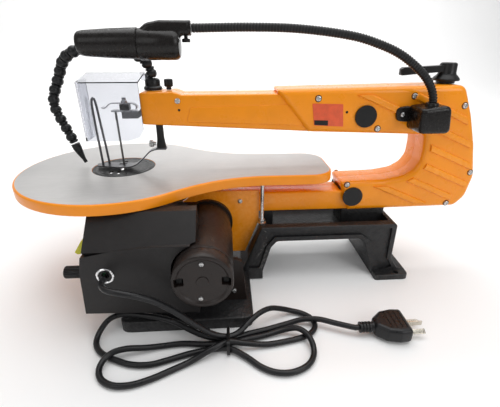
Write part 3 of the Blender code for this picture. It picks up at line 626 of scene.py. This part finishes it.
def make_cord():
    ends = [CORD_EXIT] + CORD_ROUTE + [(PLUG_START - 0.3, PLUG_Y, PLUG_Z)]
    points = smooth_route(ends, 4.0)
    path = bpy.data.curves.new("mains_cord", "CURVE")
    path.dimensions = "3D"
    path.bevel_depth = CORD_RADIUS * MM
    path.bevel_resolution = 6
    path.use_fill_caps = True
    line = path.splines.new("POLY")
    line.points.add(len(points) - 1)
    for target, point in zip(line.points, points):
        target.co = (*at(*point), 1.0)
    made = bpy.data.objects.new("mains_cord", path)
    bpy.context.scene.collection.objects.link(made)
    path.materials.append(CORD_BLACK)
    for spline in path.splines:
        spline.use_smooth = True
    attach(made, "saw_body")
    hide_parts("power_cord")
    plug, blades = make_plug()
    tie = make_tie()
    sleeve = points[:6]
    relief = [Vector((8, y, 87)) for y in (-143.0, -150.5, -151.5, -155.0)] + sleeve
    radii = [3.95, 3.95, 6.6, 6.4] + [5.6 - 0.3 * i for i in range(len(sleeve))]
    place("strain_relief", swept(relief, radii, 24), "saw_body", CORD_BLACK, ["cord_gland"])
    ring = to_object("hole_ring", turned((8, 87), "Y", [
        (7.2, -150.2), (9.6, -150.2), (9.6, -151.2), (8.8, -151.8), (7.8, -151.8), (7.2, -151.2),
    ], 48))
    place("hole_ring", ring, "saw_body", CHROME)


make_cord()


# Stage and light


def make_stage():
    mesh = bmesh.new()
    profile = [(-3.0, 0.0), (1.6, 0.0)]
    profile += [(1.6 + 1.2 * math.sin(math.radians(a)), 1.2 - 1.2 * math.cos(math.radians(a)))
                for a in range(10, 100, 10)]
    profile += [(2.8, 4.5)]
    rows = [[mesh.verts.new((x, y, z - 0.0002)) for y, z in profile] for x in (-4.0, 4.0)]
    bridge(mesh, rows[0], rows[1], closed=False)
    white = Finish("studio_sweep", (0.93, 0.93, 0.93), 0.75)
    white.tint(white.noise(3.0, 2.0), 0.985, 1.0)
    floor = to_object("studio_floor", mesh, white.material)
    shade(floor, 60)


def area_light(name, where, target, size, power):
    lamp = bpy.data.lights.new(name, "AREA")
    lamp.shape = "RECTANGLE"
    lamp.size, lamp.size_y = size
    lamp.energy = power
    made = bpy.data.objects.new(name, lamp)
    bpy.context.scene.collection.objects.link(made)
    made.location = where
    made.rotation_euler = (Vector(target) - Vector(where)).to_track_quat("-Z", "Y").to_euler()


make_stage()
area_light("overhead", (0.1, 0.1, 1.7), (0.0, 0.0, 0.1), (2.2, 1.4), 23.0)
area_light("front_left", (-1.3, -1.5, 1.2), (0.0, 0.0, 0.1), (1.1, 1.1), 4.5)
area_light("front_right", (1.3, -1.5, 1.1), (0.0, 0.0, 0.15), (0.9, 1.1), 9.0)
area_light("sweep_wash", (0.0, 1.2, 1.9), (0.0, 2.6, 0.4), (3.5, 0.8), 45.0)
world = bpy.data.worlds.new("studio")
world.use_nodes = True
world.node_tree.nodes["Background"].inputs["Color"].default_value = (1.0, 1.0, 1.0, 1.0)
world.node_tree.nodes["Background"].inputs["Strength"].default_value = 0.36
bpy.context.scene.world = world
bpy.context.scene.view_settings.view_transform = "Standard"


# Screws


def screw_head(centre, axis, radius, low, high, sides=24):
    """Pan head with a cross recess. The head stands from low to high along the axis."""
    rise = high - low
    profile = [(0, low), (radius, low), (radius, low + rise * 0.4), (radius * 0.86, low + rise * 0.8),
               (radius * 0.55, high), (0, high)]
    head = to_object("head", turned(centre, axis, profile, sides))
    u, v = centre
    long, wide = radius * 0.62, radius * 0.17
    depth = (low + rise * 0.45, high + rise)
    for half_u, half_v in ((long, wide), (wide, long)):
        slot = [(u - half_u, v - half_v), (u + half_u, v - half_v), (u + half_u, v + half_v),
                (u - half_u, v + half_v)]
        cut(head, plate(slot, axis, min(depth), max(depth)))
    mesh = bmesh.new()
    mesh.from_mesh(head.data)
    bpy.data.objects.remove(head, do_unlink=True)
    return mesh


# Base


def make_base():
    top = 85.0
    arch = [
        (186, top), (378, top), (378, 28), (390, 10), (402, 8), (402, 0), (353, 0), (334, 56),
        (325, 63), (208, 63), (200, 53), (189, 14), (189, 1), (158, 1), (158, 14), (167, 36),
    ]
    radii = [4.0, 5.0, 8.0, 6.0, 2.0, 1.0, 1.0, 10.0, 8.0, 8.0, 10.0, 3.0, 1.0, 1.0, 3.0, 6.0]
    body = to_object("cast", plate(arch, "Y", -52, 52, (1.6, 1.6), (1.6, 1.6), 3, radii))
    foot = [(352, -65), (402, -65), (402, 65), (352, 65)]
    unite(body, plate(foot, "Z", 0, 8, (0, 0), (1.6, 1.6), 3, [4.0, 9.0, 9.0, 4.0]))
    plan = [(9, -145), (169, -145), (169, 125), (9, 125)]
    unite(body, plate(plan, "Z", 0, 15, (0, 0), (2.0, 2.0), 3, [14.0, 12.0, 12.0, 14.0]))
    cut(body, plate([(194, -40), (370, -40), (370, 40), (194, 40)], "Z", 71, 95, radius=4.0))
    raised = [(306, -18), (371, -18), (371, 18), (306, 18)]
    unite(body, plate(raised, "Z", 66, 95.7, (0, 0), (1.2, 1.2), 3, 3.0))
    post = [(190, -18), (206, -18), (206, 18), (190, 18)]
    unite(body, plate(post, "Z", 66, 95.7, (0, 0), (0.8, 0.8), 3, 2.0))
    panel = [
        (192, 79), (371, 79), (371, 30), (381, 14), (362, 7), (341, 60), (328, 70), (205, 70),
        (194, 56), (184, 20), (166, 20), (174, 36),
    ]
    for low, high in ((-60, -48.5), (48.5, 60)):
        cut(body, plate(panel, "Y", low, high, radius=3.0))
    hollow = [(15, -139), (152, -139), (152, 119), (15, 119)]
    cut(body, plate(hollow, "Z", -2, 10, radius=6.0))
    for x, y in ((32, -121), (32, 101), (385, -58), (385, 58)):
        cut(body, plate(circle(x, y, 4, 20), "Z", -1, 20))
    place("cast_base", body, "saw_body", IRON, ["base_casting"], edge=0.5)


# Frame

REAR_OUTLINE = [
    (247, 210), (204, 262.5), (446, 266.5), (464, 228), (478, 190), (490, 144), (485, 113),
    (472, 98), (312, 96), (298, 139), (361, 141), (386, 145.5), (400, 154), (407, 166),
    (407.5, 185), (405, 204),
]
REAR_RADII = [2.0, 3.0, 14.0, 30.0, 40.0, 25.0, 20.0, 14.0, 3.0, 4.0, 30.0, 22.0, 16.0, 14.0, 12.0, 5.0]
FRONT_ARM_OUTLINE = [(37, 221.5), (37, 260), (78, 260.5), (88, 257), (240, 257.5), (258, 209.4)]
POCKET_OUTLINE = [
    (30, 225.5), (30, 254.5), (240, 253.5), (245, 258.5), (441, 261.5), (460, 226), (474, 189),
    (486, 144), (481, 115), (469, 102), (320, 99.6), (130, 99.6), (130, 121), (300.5, 121),
    (301.5, 134.5), (362, 136.5), (388, 141), (403.5, 150.5), (411.5, 164), (412, 186),
    (409, 208.5), (252, 214.5),
]
UPPER_PIVOT = (320.0, 229.5)
LINK_X = 432.0
POST = (56, -12)
LOWER_PIVOT = (316.5, 118.0)
RIB_SLOPE = -0.43
RIB_PITCH = 26.8
RIB_FIRST = 280.0
RIB_WIDTH = 9.5
RIB_REACH = [(327, 432), (388, 462), (406, 492), (404, 492), (306, 484), (380, 476)]


def frame_half(side, name, node):
    near = side < 0

    def slab(outline, inner, outer, edge, radius):
        if near:
            return plate(outline, "Y", -outer, -inner, edge, (0.25, 0.25), 6, radius)
        return plate(outline, "Y", inner, outer, (0.25, 0.25), edge, 6, radius)

    lower_top = 125 if near else 124.4
    lower_front = [(135, 96), (135, lower_top), (306, lower_top), (316, 96)]
    body = to_object("half", slab(REAR_OUTLINE, 0.15, 27, (7.5, 6.5), REAR_RADII))
    unite(body, slab(FRONT_ARM_OUTLINE, 0.15, 22, (2.5, 3.0), [3.0, 3.5, 6.0, 6.0, 3.0, 3.0]))
    unite(body, slab(lower_front, 0.15, 22 if near else 18, (3.0, 3.0), 3.2))
    panel = [(98, 242), (222, 244.5), (242, 218), (92, 224)]
    low, high = sorted((side * 22.8, side * 20))
    rounds = ((0.8, 0.8), (0, 0)) if near else ((0, 0), (0.8, 0.8))
    unite(body, plate(panel, "Y", low, high, *rounds, radius=3.0))
    pocket_low, pocket_high = (-18, 1) if near else (-1, 14)
    cut(body, plate(POCKET_OUTLINE, "Y", pocket_low, pocket_high))
    for x, z in (UPPER_PIVOT, LOWER_PIVOT):
        cut(body, plate(circle(x, z, 5.3, 24), "Y", -40, 40))
    cut(body, plate(circle(LINK_X, 0, 9, 32), "Z", 245, 272))
    if near:
        boss = [(48, -18.5), (64, -18.5), (64, -7), (48, -7)]
        unite(body, plate(boss, "Z", 224, 255, radius=1.0))
        cut(body, plate(circle(*POST, 5.2, 24), "Z", 215, 251.3))
    place(name, body, "saw_body", ORANGE, [node], edge=0.0, angle=42)


def make_ribs():
    shapes = []
    for k, (start, end) in enumerate(RIB_REACH):
        level = RIB_FIRST + RIB_PITCH * k
        strip = [(start, level + RIB_SLOPE * start), (end, level + RIB_SLOPE * end),
                 (end, level + RIB_SLOPE * end + RIB_WIDTH),
                 (start + 4, level + RIB_SLOPE * (start + 4) + RIB_WIDTH)]
        for low, high, edges in ((-29.6, -26.6, ((1.9, 2.6), (0, 0))), (26.6, 29.6, ((0, 0), (1.9, 2.6)))):
            rib = to_object("rib", plate(strip, "Y", low, high, *edges))
            field = ring_of(REAR_OUTLINE, REAR_RADII, 8.5)
            combine(rib, "INTERSECT", plate(field, "Y", -40, 40))
            mesh = bmesh.new()
            mesh.from_mesh(rib.data)
            bpy.data.objects.remove(rib, do_unlink=True)
            shapes.append(mesh)
    place("housing_ribs", join(*shapes), "saw_body", ORANGE)


def make_housing_screws():
    inner = [(257, 252), (380, 254), (338, 213.5), (449, 241.5), (481, 150), (457, 104), (307, 136)]
    heads = [screw_head(spot, "Y", 3.6, -26.4, -29.0) for spot in inner]
    heads += [screw_head(spot, "Y", 3.6, 26.4, 29.0) for spot in inner]
    heads.append(screw_head((83, 250), "Y", 3.6, -21.6, -24.2))
    heads.append(screw_head((83, 250), "Y", 3.6, 21.6, 24.2))
    heads.append(screw_head((158, 117), "Y", 3.4, -29.8, -32.4))
    place("housing_screws", join(*heads), "saw_body", BRIGHT)
    # Thin near-black rings around the housing screws: painted shade in the recesses round the heads.
    seat_shade = [turned(spot, "Y", [(3.6, -27.2), (4.3, -27.2), (4.3, -26.5), (3.6, -26.5)], 32)
             for spot in inner]
    place("screw_seat_shade", join(*seat_shade), "saw_body", CAP_AND_SHADE_BLACK)
    # Near-black discs on the housing faces: painted shade standing in for the small holes.
    hole_shade = [turned((295, 235), "Y", [(0, -27.25), (1.6, -27.25), (1.6, -26), (0, -26)], 20),
             turned((84, 239), "Y", [(0, -22.25), (1.5, -22.25), (1.5, -21), (0, -21)], 20)]
    place("sight_hole_shade", join(*hole_shade), "saw_body", CAP_AND_SHADE_BLACK)


def make_label():
    outline = [(250, 246), (289, 245), (292, 217), (254, 219)]
    card = plate(outline, "Y", -27.75, -27.0, (0.2, 0.2), radius=0.8)
    place("rating_label", card, "saw_body", LABEL, ["label_plate"])
    bar = [(253.6, 225.5), (271.5, 225), (271.8, 218.7), (254.3, 219.6)]
    place("label_bar", plate(bar, "Y", -27.95, -27.7, radius=0.4), "saw_body", SMOKE)


make_base()
frame_half(-1, "housing_near", "frame_half_near")
frame_half(1, "housing_far", "frame_half_far")
make_ribs()
make_housing_screws()
make_label()
for level in ("upper", "lower"):
    dress(level + "_pivot_pin", BRIGHT, 0.5)
    dress(level + "_pivot_bush", BRONZE, 0.3)
    for flank in ("near", "far"):
        dress(f"{level}_pivot_cap_{flank}", BLACK, 0.8, 3)

# Table

TABLE_CENTRE_X = -5.0
TABLE_RADIUS = 127.5
TABLE_TAIL_HALF = 51.0
TABLE_TAIL_END = 283.0


def table_edge():
    meet = 50.0
    front = circle(TABLE_CENTRE_X, 0, TABLE_RADIUS, 104, meet, 360 - 2 * meet)
    start = Vector(front[0])
    end = Vector((200.0, TABLE_TAIL_HALF))
    slope_in = Vector((math.sin(math.radians(meet)), -math.cos(math.radians(meet)))) * 150
    slope_out = Vector((150.0, 0.0))
    blend = []
    for i in range(1, 33):
        t = i / 33
        blend.append(tuple(start * (2 * t**3 - 3 * t**2 + 1) + slope_in * (t**3 - 2 * t**2 + t)
                           + end * (3 * t**2 - 2 * t**3) + slope_out * (t**3 - t**2)))
    corner = 30.0
    rounding = circle(TABLE_TAIL_END - corner, TABLE_TAIL_HALF - corner, corner, 16, 90, -90)
    upper = blend + [tuple(end)] + rounding
    return front + [(x, -y) for x, y in upper] + upper[::-1]


def make_table():
    edge = table_edge()
    body = to_object("rim", plate(edge, "Z", 147, 159.85, (0.8, 0.8), (2.2, 2.2)))
    cut(body, plate(inset(edge, 5), "Z", 140, 154))
    cut(body, plate(circle(0, 0, 41.5, 96), "Z", 157, 165))
    cut(body, plate(circle(0, 0, 36, 64), "Z", 130, 165))
    place("table_casting", body, "table", TABLE_PAINT, ["table"], angle=40)
    top = to_object("top", plate(inset(edge, 2.6), "Z", 159.4, 160.0, (0, 0), (0.3, 0.15), 2))
    cut(top, plate(circle(0, 0, 41.7, 96), "Z", 150, 165))
    place("table_face", top, "table", TABLE_TOP_METAL)
    ribs = [plate([(x, y), (x + 3, y), (x + 3, y2), (x, y2)], "Z", 148.5, 154.2)
            for x, y, y2 in ((54, -88, 88), (-70, -95, 95), (140, -52, 52), (200, -45, 45))]
    ribs.append(plate([(60, -46), (230, -46), (230, -43), (60, -43)], "Z", 148.5, 154.2))
    place("table_ribs", join(*ribs), "table", TABLE_PAINT)
    disc = to_object("disc", plate(circle(0, 0, 41, 96), "Z", 157.3, 159.8, (0, 0), (0.5, 0.5), 3))
    for x, y in ((-14, -22), (-4, -24), (-17, 18), (-6, 20)):
        slot = [(x, y - 5), (x + 5, y - 5), (x + 5, y + 5), (x, y + 5)]
        cut(disc, plate(slot, "Z", 150, 170, radius=1.0))
    cut(disc, plate([(-3, -14), (3, -14), (3, 14), (-3, 14)], "Z", 150, 170, radius=2.5))
    for radius in (38.0, 33.0):
        cut(disc, turned((0, 0), "Z", [(radius, 159.3), (radius + 0.7, 159.3), (radius + 0.7, 161),
                                       (radius, 161)], 96))
    place("insert_disc", disc, "table", BLACK, ["table_insert"])


make_table()
dress("table_trunnion", IRON, 0.8)
dress("trunnion_bracket", IRON, 0.6)
place("tilt_star_knob", turned((0, 134), "X", [
    (0, 62), (7.5, 62), (9.4, 62.6), (10, 64), (10, 77.5), (9, 79.5), (5.5, 80),
    (5, 83.7), (3, 83.7), (3, 99), (0, 99)], 96, (8, 1.6, 7.0)), "tilt_lock_knob", BLACK, ["tilt_lock_knob"])


def make_stop_bolt():
    shaft = [(0, 88), (2.5, 88)]
    height = 89.0
    while height < 118:
        shaft += [(2.6, height), (2.25, height + 0.5)]
        height += 1.0
    shaft += [(2.6, 119), (2.6, 146.3), (2.2, 146.7), (0, 146.7)]
    flange = turned((188, -35), "Z", [(0, 85.3), (6, 85.3), (6, 86.4), (4.6, 87.2), (0, 87.2)], 32)
    nut = plate(circle(188, -35, 4.6, 6), "Z", 87, 91, (0.3, 0.3), (0.5, 0.5))
    place("stop_bolt", join(turned((188, -35), "Z", shaft, 24), flange, nut), "saw_body", BRIGHT,
          ["table_stop_bolt"])


make_stop_bolt()

# Arms, clamp, blade, tension
for node in ("upper_arm", "lower_arm"):
    dress(node, CAST_ALLOY, 0.8)
dress("upper_jaw_plate", BRIGHT, 0.3)
dress("upper_clamp_block", BLACK, 0.5)
dress("lower_blade_clamp", DARK_STEEL, 0.4)


def strip(path, thickness):
    points = [Vector(p) for p in path]
    left, right = [], []
    for i, point in enumerate(points):
        ahead = (points[min(i + 1, len(points) - 1)] - points[max(i - 1, 0)]).normalized()
        normal = Vector((-ahead.y, ahead.x)) * thickness / 2
        left.append(tuple(point + normal))
        right.append(tuple(point - normal))
    return left + right[::-1]


def flat_route(path, spacing):
    return [(p.x, p.y) for p in smooth_route([(u, v, 0) for u, v in path], spacing)]


def make_clamp_lever():
    leaf = flat_route([(-16, 240), (-12, 239.2), (-9, 241.5), (-5, 244.7), (4, 245.3), (18, 245.3),
                       (24, 244.6),
                       (27.6, 242), (28, 239.8), (26.8, 238)], 1.2)
    body = plate(strip(leaf, 1.0), "Y", -4.5, 4.5, (0.2, 0.3), (0.2, 0.3), 2)
    eye = turned((12.6, 0), "Z", [
        (0, 245.2), (3.8, 245.2), (4, 245.6), (4, 247.6), (3.6, 248.2), (2.8, 248.6), (2.8, 251.2),
        (2.2, 252), (0, 252)], 28)
    place("clamp_leaf", join(body, eye), "clamp_lever", BRIGHT, ["clamp_lever"])


def make_blade():
    teeth = [(1.5, 109.9), (1.5, 236.1), (-1.2, 236.1)]
    height = 224.0
    while height > 122.0:
        teeth += [(-1.45, height), (-0.75, height - 0.5)]
        height -= 2.0
    teeth += [(-1.2, 109.9)]
    place("saw_blade", plate(teeth, "Y", -0.3, 0.3), "blade", BLADE_STEEL, ["blade"], angle=20)


make_clamp_lever()
make_blade()
dress("tension_rod", BRIGHT, 0.3)
dress("tension_collar", BLACK, 0.4)


def make_tension_lever():
    skirt = turned((LINK_X, 0), "Z", [
        (0, 280.6), (8, 280.6), (8, 277), (12.2, 274.5), (12.2, 270.2), (16.2, 270.2), (16.5, 270.7),
        (16.5, 272.4), (15.6, 273.6), (13.6, 275.8), (11.6, 277.6), (10.8, 279.6), (10.4, 289.6),
        (9.6, 291.2), (8, 292), (0, 292)], 48)
    plan = [(368, -4.5), (390, -5.6), (430, -6), (430, 6), (390, 5.6), (368, 4.5)]
    side = [(430, 281.5), (385, 278), (369, 276.5), (368, 284), (372, 286.3), (430, 289)]
    handle = to_object("handle", plate(plan, "Z", 270, 295, radius=4.0))
    combine(handle, "INTERSECT", plate(side, "Y", -12, 12, radius=2.0))
    unite(handle, skirt)
    place("tension_cam", handle, "tension_lever", BLACK, ["tension_lever"], edge=0.5)


make_tension_lever()

# Motor and crank
MOTOR_X = 113.0
MOTOR_Z = 87.0


def make_motor():
    x, z = MOTOR_X, MOTOR_Z
    can = turned((x, z), "Y", [
        (0, -150.7), (32.2, -150.7), (32.6, -150.2), (32.6, -148.6), (33, -148.2), (33, -66),
        (32.4, -65.2), (32.4, -62), (0, -62)], 96)
    place("motor_shell", can, "saw_body", MOTOR_BROWN, ["motor_can"])
    cap = to_object("cap", turned((x, z), "Y", [
        (0, -167.2), (26.5, -167.2), (27.5, -168.2), (28.6, -169), (31.2, -169), (32.4, -168.4),
        (33, -167.2), (33, -153), (32.4, -151.6), (32, -151), (0, -151)], 96))
    for start, end in ((x - 30, x - 20), (x + 20, x + 30)):
        slot = [(start, z - 5), (end, z - 5), (end, z + 5), (start, z + 5)]
        cut(cap, plate(slot, "Y", -175, -160, radius=1.5))
    place("motor_cap", cap, "saw_body", MOTOR_BROWN, ["motor_end_cap"], edge=0.4)
    brushes = [plate([(start, z - 4), (start + 6, z - 4), (start + 6, z + 4), (start, z + 4)],
                     "Y", -163.5, -159.5, radius=1.2) for start in (x - 28, x + 22)]
    place("brush_caps", join(*brushes), "saw_body", CAP_AND_SHADE_BLACK)
    heads = [screw_head(spot, "Y", 2.7, -166.9, -169.0) for spot in ((x, z + 22), (x - 3, z - 22))]
    heads.append(screw_head((146.6, 30), "Y", 3.2, -111.9, -114.5))
    place("motor_screws", join(*heads), "saw_body", BRIGHT)
    boss = turned((x, z), "Y", [(0, -167), (6.5, -167), (6, -168.2), (2, -168.5), (0, -168.5)], 40)
    place("shaft_boss", boss, "saw_body", MOTOR_BROWN)


make_motor()
dress("motor_mount_ring", MOTOR_BROWN, 0.6)
dress("motor_stay", MOTOR_BROWN, 0.6)
dress("crank_shaft", BRIGHT, 0.3)
dress("crank_bracket", ORANGE, 0.8)
dress("connecting_rod", BRIGHT, 0.4)

# Control box
dress("control_box", BOX_BLACK, 1.2, 3)
dress("switch_flap", YELLOW, 1.2, 3)
dress("speed_board", BOARD, 0.2)


def make_speed_knob():
    knob = turned((-138, 85), "X", [
        (0, -39), (5.4, -39), (6.4, -38.6), (7, -37.6), (7, -23), (6.6, -21.6), (3, -21.4), (3, -13),
        (0, -13)], 120, (20, 0.6, 6.0))
    place("dial_knob", knob, "speed_knob", BLACK, ["speed_knob"])


make_speed_knob()

# Hold-down
dress("hold_down_post", BLACK, 0.4)


def make_hold_down():
    side = flat_route([(62, 187.8), (50, 187.8), (41, 185), (34, 178.6), (28, 173), (20, 167), (10, 164),
                       (-4, 163.2), (-36, 163.2)], 2.5)
    plan = [(63, -16), (40, -16), (24, -16), (8, -15.5), (-6, -13), (-20, -9), (-34, -5), (-36, 4),
            (-28, 9), (-10, 9), (8, 5), (18, -3), (26, -6), (42, -6.5), (63, -6.5)]
    foot = to_object("foot", plate(plan, "Z", 150, 190))
    combine(foot, "INTERSECT", plate(strip(side, 1.4), "Y", -20, 12))
    cut(foot, plate([(-6, -2.5), (4, -2.5), (4, 2.5), (-6, 2.5)], "Z", 150, 175))
    place("foot_strip", foot, "hold_down", DARK_STEEL, ["hold_down_foot"], edge=0.25)
    nut = [(49, -16), (63, -16), (63, -8), (49, -8)]
    place("foot_nut", plate(nut, "Z", 188.3, 189.8, radius=1.5), "hold_down", DARK_STEEL, edge=0.2)
    loop = [(-27, -2, 163.0), (-27.4, -2, 200), (-28, -1, 236), (-28.2, 0.5, 246), (-27.6, 2.5, 250.5),
            (-26.4, 4.6, 250.5), (-25.6, 6.2, 246), (-25, 7, 236), (-23, 7, 200), (-21, 6, 163.0)]
    points = smooth_route(loop, 2.5)
    place("finger_wire", swept(points, [1.5] * len(points), 16), "hold_down", DARK_STEEL)


make_hold_down()
place("foot_thumbscrew", turned((-12, 195), "X", [
    (0, 41), (3.8, 41), (4.5, 41.6), (4.5, 45.4), (3.8, 46), (2.5, 46.6), (2.5, 49.5), (0, 49.5)],
    72, (18, 0.5, 3.9)), "hold_down_screw", BRIGHT, ["hold_down_screw"])
place("post_thumbscrew", turned((70, 4), "Z", [
    (0, 261), (3.2, 261), (3.2, 264), (4.8, 264.4), (5.5, 265.2), (5.5, 272.4), (4.8, 273.4), (0, 274)],
    72, (16, 0.7, 4.0)), "post_lock_knob", BLACK, ["post_lock_knob"])

# Guard
dress("blade_guard", CLEAR, 0.5, 2)
dress("guard_mount", DARK_STEEL, 0.5)

# Air hose

HOSE_ROUTE = [
    (50, 5, 275.2), (49, 5, 284), (44.5, 3.5, 293), (35, 0, 301), (20, -7, 307), (2, -13, 310),
    (-16, -16, 309.5), (-32, -14, 306), (-45, -9, 299.5), (-54, -3, 291), (-60, 0, 280.5), (-66, 1, 269),
    (-72.5, 1.5, 256.5), (-75.5, 2, 243.5), (-73, 2, 230.5), (-68.5, 2, 217.5), (-64, 2, 204.5),
    (-60.5, 2, 194.5),
]
SEGMENT = 12.6
SEGMENT_SHAPE = [(0.0, 4.3), (0.08, 5.4), (0.2, 6.3), (0.36, 6.8), (0.52, 6.6), (0.62, 6.1), (0.66, 5.0),
                 (0.74, 4.7), (0.78, 5.7), (0.9, 5.9), (0.94, 5.4), (0.97, 4.3)]


def make_hose():
    fine = smooth_route(HOSE_ROUTE, 0.6)
    total = sum((q - p).length for p, q in zip(fine, fine[1:]))
    count = round(total / SEGMENT)
    step = total / (len(fine) - 1)
    points, radii = [], []
    for k in range(count):
        for share, radius in SEGMENT_SHAPE:
            place_mm = (k + share) * total / count / step
            i = min(int(place_mm), len(fine) - 2)
            points.append(fine[i].lerp(fine[i + 1], place_mm - i))
            radii.append(radius)
    points.append(fine[-1])
    radii.append(4.6)
    place("hose_segments", swept(points, radii, 28), "air_hose", HOSE_BLACK, ["air_hose"], angle=50)
    tip = smooth_route([(-60, 2, 192.8), (-58.5, 2, 188), (-55.5, 2, 179.5), (-50.5, 2, 167)], 1.5)
    sizes = [5.6 - 3.2 * min(1.0, max(0.0, (i / (len(tip) - 1) - 0.22) / 0.6)) for i in range(len(tip))]
    place("hose_nozzle", swept(tip, sizes, 28), "air_nozzle", HOSE_BLACK, ["air_nozzle"], angle=50)


make_hose()
place("hose_socket", turned((50, 5), "Z", [
    (0, 260.8), (11, 260.8), (11.5, 261.4), (11.5, 263.6), (10.6, 264.6), (9.5, 265.4), (9.5, 271.6),
    (8.6, 273.4), (6.5, 274.5), (0, 274.8)], 48), "saw_body", HOSE_BLACK, ["hose_collar"])
dress("air_bellows", HOSE_BLACK)
dress("air_tube", CLEAR)

# Lamp
LAMP_Y = -45.0


def make_lamp_base():
    outline = [(376, 213), (375, 243), (411, 247), (416, 213)]
    corners = [7.0, 6.0, 8.0, 7.0]
    body = to_object("lamp_box", plate(outline, "Y", -62, -29.5, (5.0, 5.0), (0.6, 0.6), 5, corners))
    unite(body, plate(outline, "Y", -29.7, -27.6, (0.5, 0.5), (0, 0), 3, corners))
    ear = [(357, 240), (378, 243), (378, 222), (360, 224)]
    unite(body, plate(ear, "Y", -31.6, -27.6, (1.2, 1.2), radius=6.0))
    unite(body, turned((394, LAMP_Y), "Z", [
        (0, 240), (8.4, 240), (7.6, 247.6), (6.8, 248.6), (0, 248.6)], 40))
    cut(body, plate(circle(394, LAMP_Y, 5.5, 32), "Z", 236, 262))
    place("lamp_box", body, "saw_body", LAMP_BLACK, ["lamp_base"], edge=0.5)
    heads = [screw_head((366, 232), "Y", 3.0, -31.4, -33.6)]
    place("lamp_box_screw", join(*heads), "saw_body", BRIGHT)


NECK_ROUTE = [
    (394, LAMP_Y, 236.5), (394, LAMP_Y, 252), (387, LAMP_Y, 268), (372, LAMP_Y, 284), (346, LAMP_Y, 301.5),
    (318, LAMP_Y, 313), (283, LAMP_Y, 322), (226, LAMP_Y, 328.5), (171, LAMP_Y, 330), (107.5, LAMP_Y, 329),
]


def make_neck():
    points = smooth_route(NECK_ROUTE, 0.85)
    radii = [4.55 + 0.45 * math.cos(2 * math.pi * i / 4) for i in range(len(points))]
    place("gooseneck", swept(points, radii, 20), "saw_body", BLACK, ["lamp_neck"], angle=80)


def make_lamp_head():
    rear = to_object("rear", turned((LAMP_Y, 313), "X", [
        (0, 50.3), (15.6, 50.3), (16, 50.8), (16, 88), (15.2, 91.6), (13.2, 94), (10, 94.5), (0, 94.5)], 64))
    hump = [(50.6, 318), (51, 327.5), (60, 334), (74, 336.6), (107, 336.4), (107, 321.6),
            (96, 321.6), (92, 312)]
    unite(rear, plate(hump, "Y", LAMP_Y - 8, LAMP_Y + 8, (5, 5.5), (5, 5.5), 6,
                      [1.0, 8.0, 14.0, 10.0, 2.0, 4.0, 4.0, 1.0]))
    unite(rear, turned((LAMP_Y, 329), "X", [
        (0, 84), (7.4, 84), (7.6, 84.5), (7.6, 106.4), (7, 107), (0, 107)], 40))
    thumb = turned((101, LAMP_Y), "Z", [
        (0, 315), (4, 315), (4.5, 315.5), (4.5, 318), (4, 318.6), (2, 319), (2, 325), (0, 325)],
        60, (14, 0.5, 3.8))
    unite(rear, thumb)
    place("lamp_adaptor", rear, "lamp_head", LAMP_BLACK, ["lamp_rear"], angle=40)
    barrel = turned((LAMP_Y, 314), "X", [
        (0, 49.9), (15.2, 49.9), (15.8, 49.2), (15.7, 44), (14.9, 22), (13.8, 4), (12.9, -8),
        (12, -12.2), (10.6, -14.2), (9.4, -14.7), (9, -14.2), (9, -11.5), (0, -11.5)], 64)
    place("lamp_shell", barrel, "lamp_head", LAMP_BLACK, ["lamp_barrel"], angle=40)
    lens = turned((LAMP_Y, 314), "X", [
        (0, -14.3), (5, -14), (8, -13.2), (8.8, -12.6), (8.8, -11.8), (0, -11.8)], 48)
    place("lamp_glass", lens, "lamp_head", LENS, ["lamp_lens"])


make_lamp_base()
make_neck()
make_lamp_head()
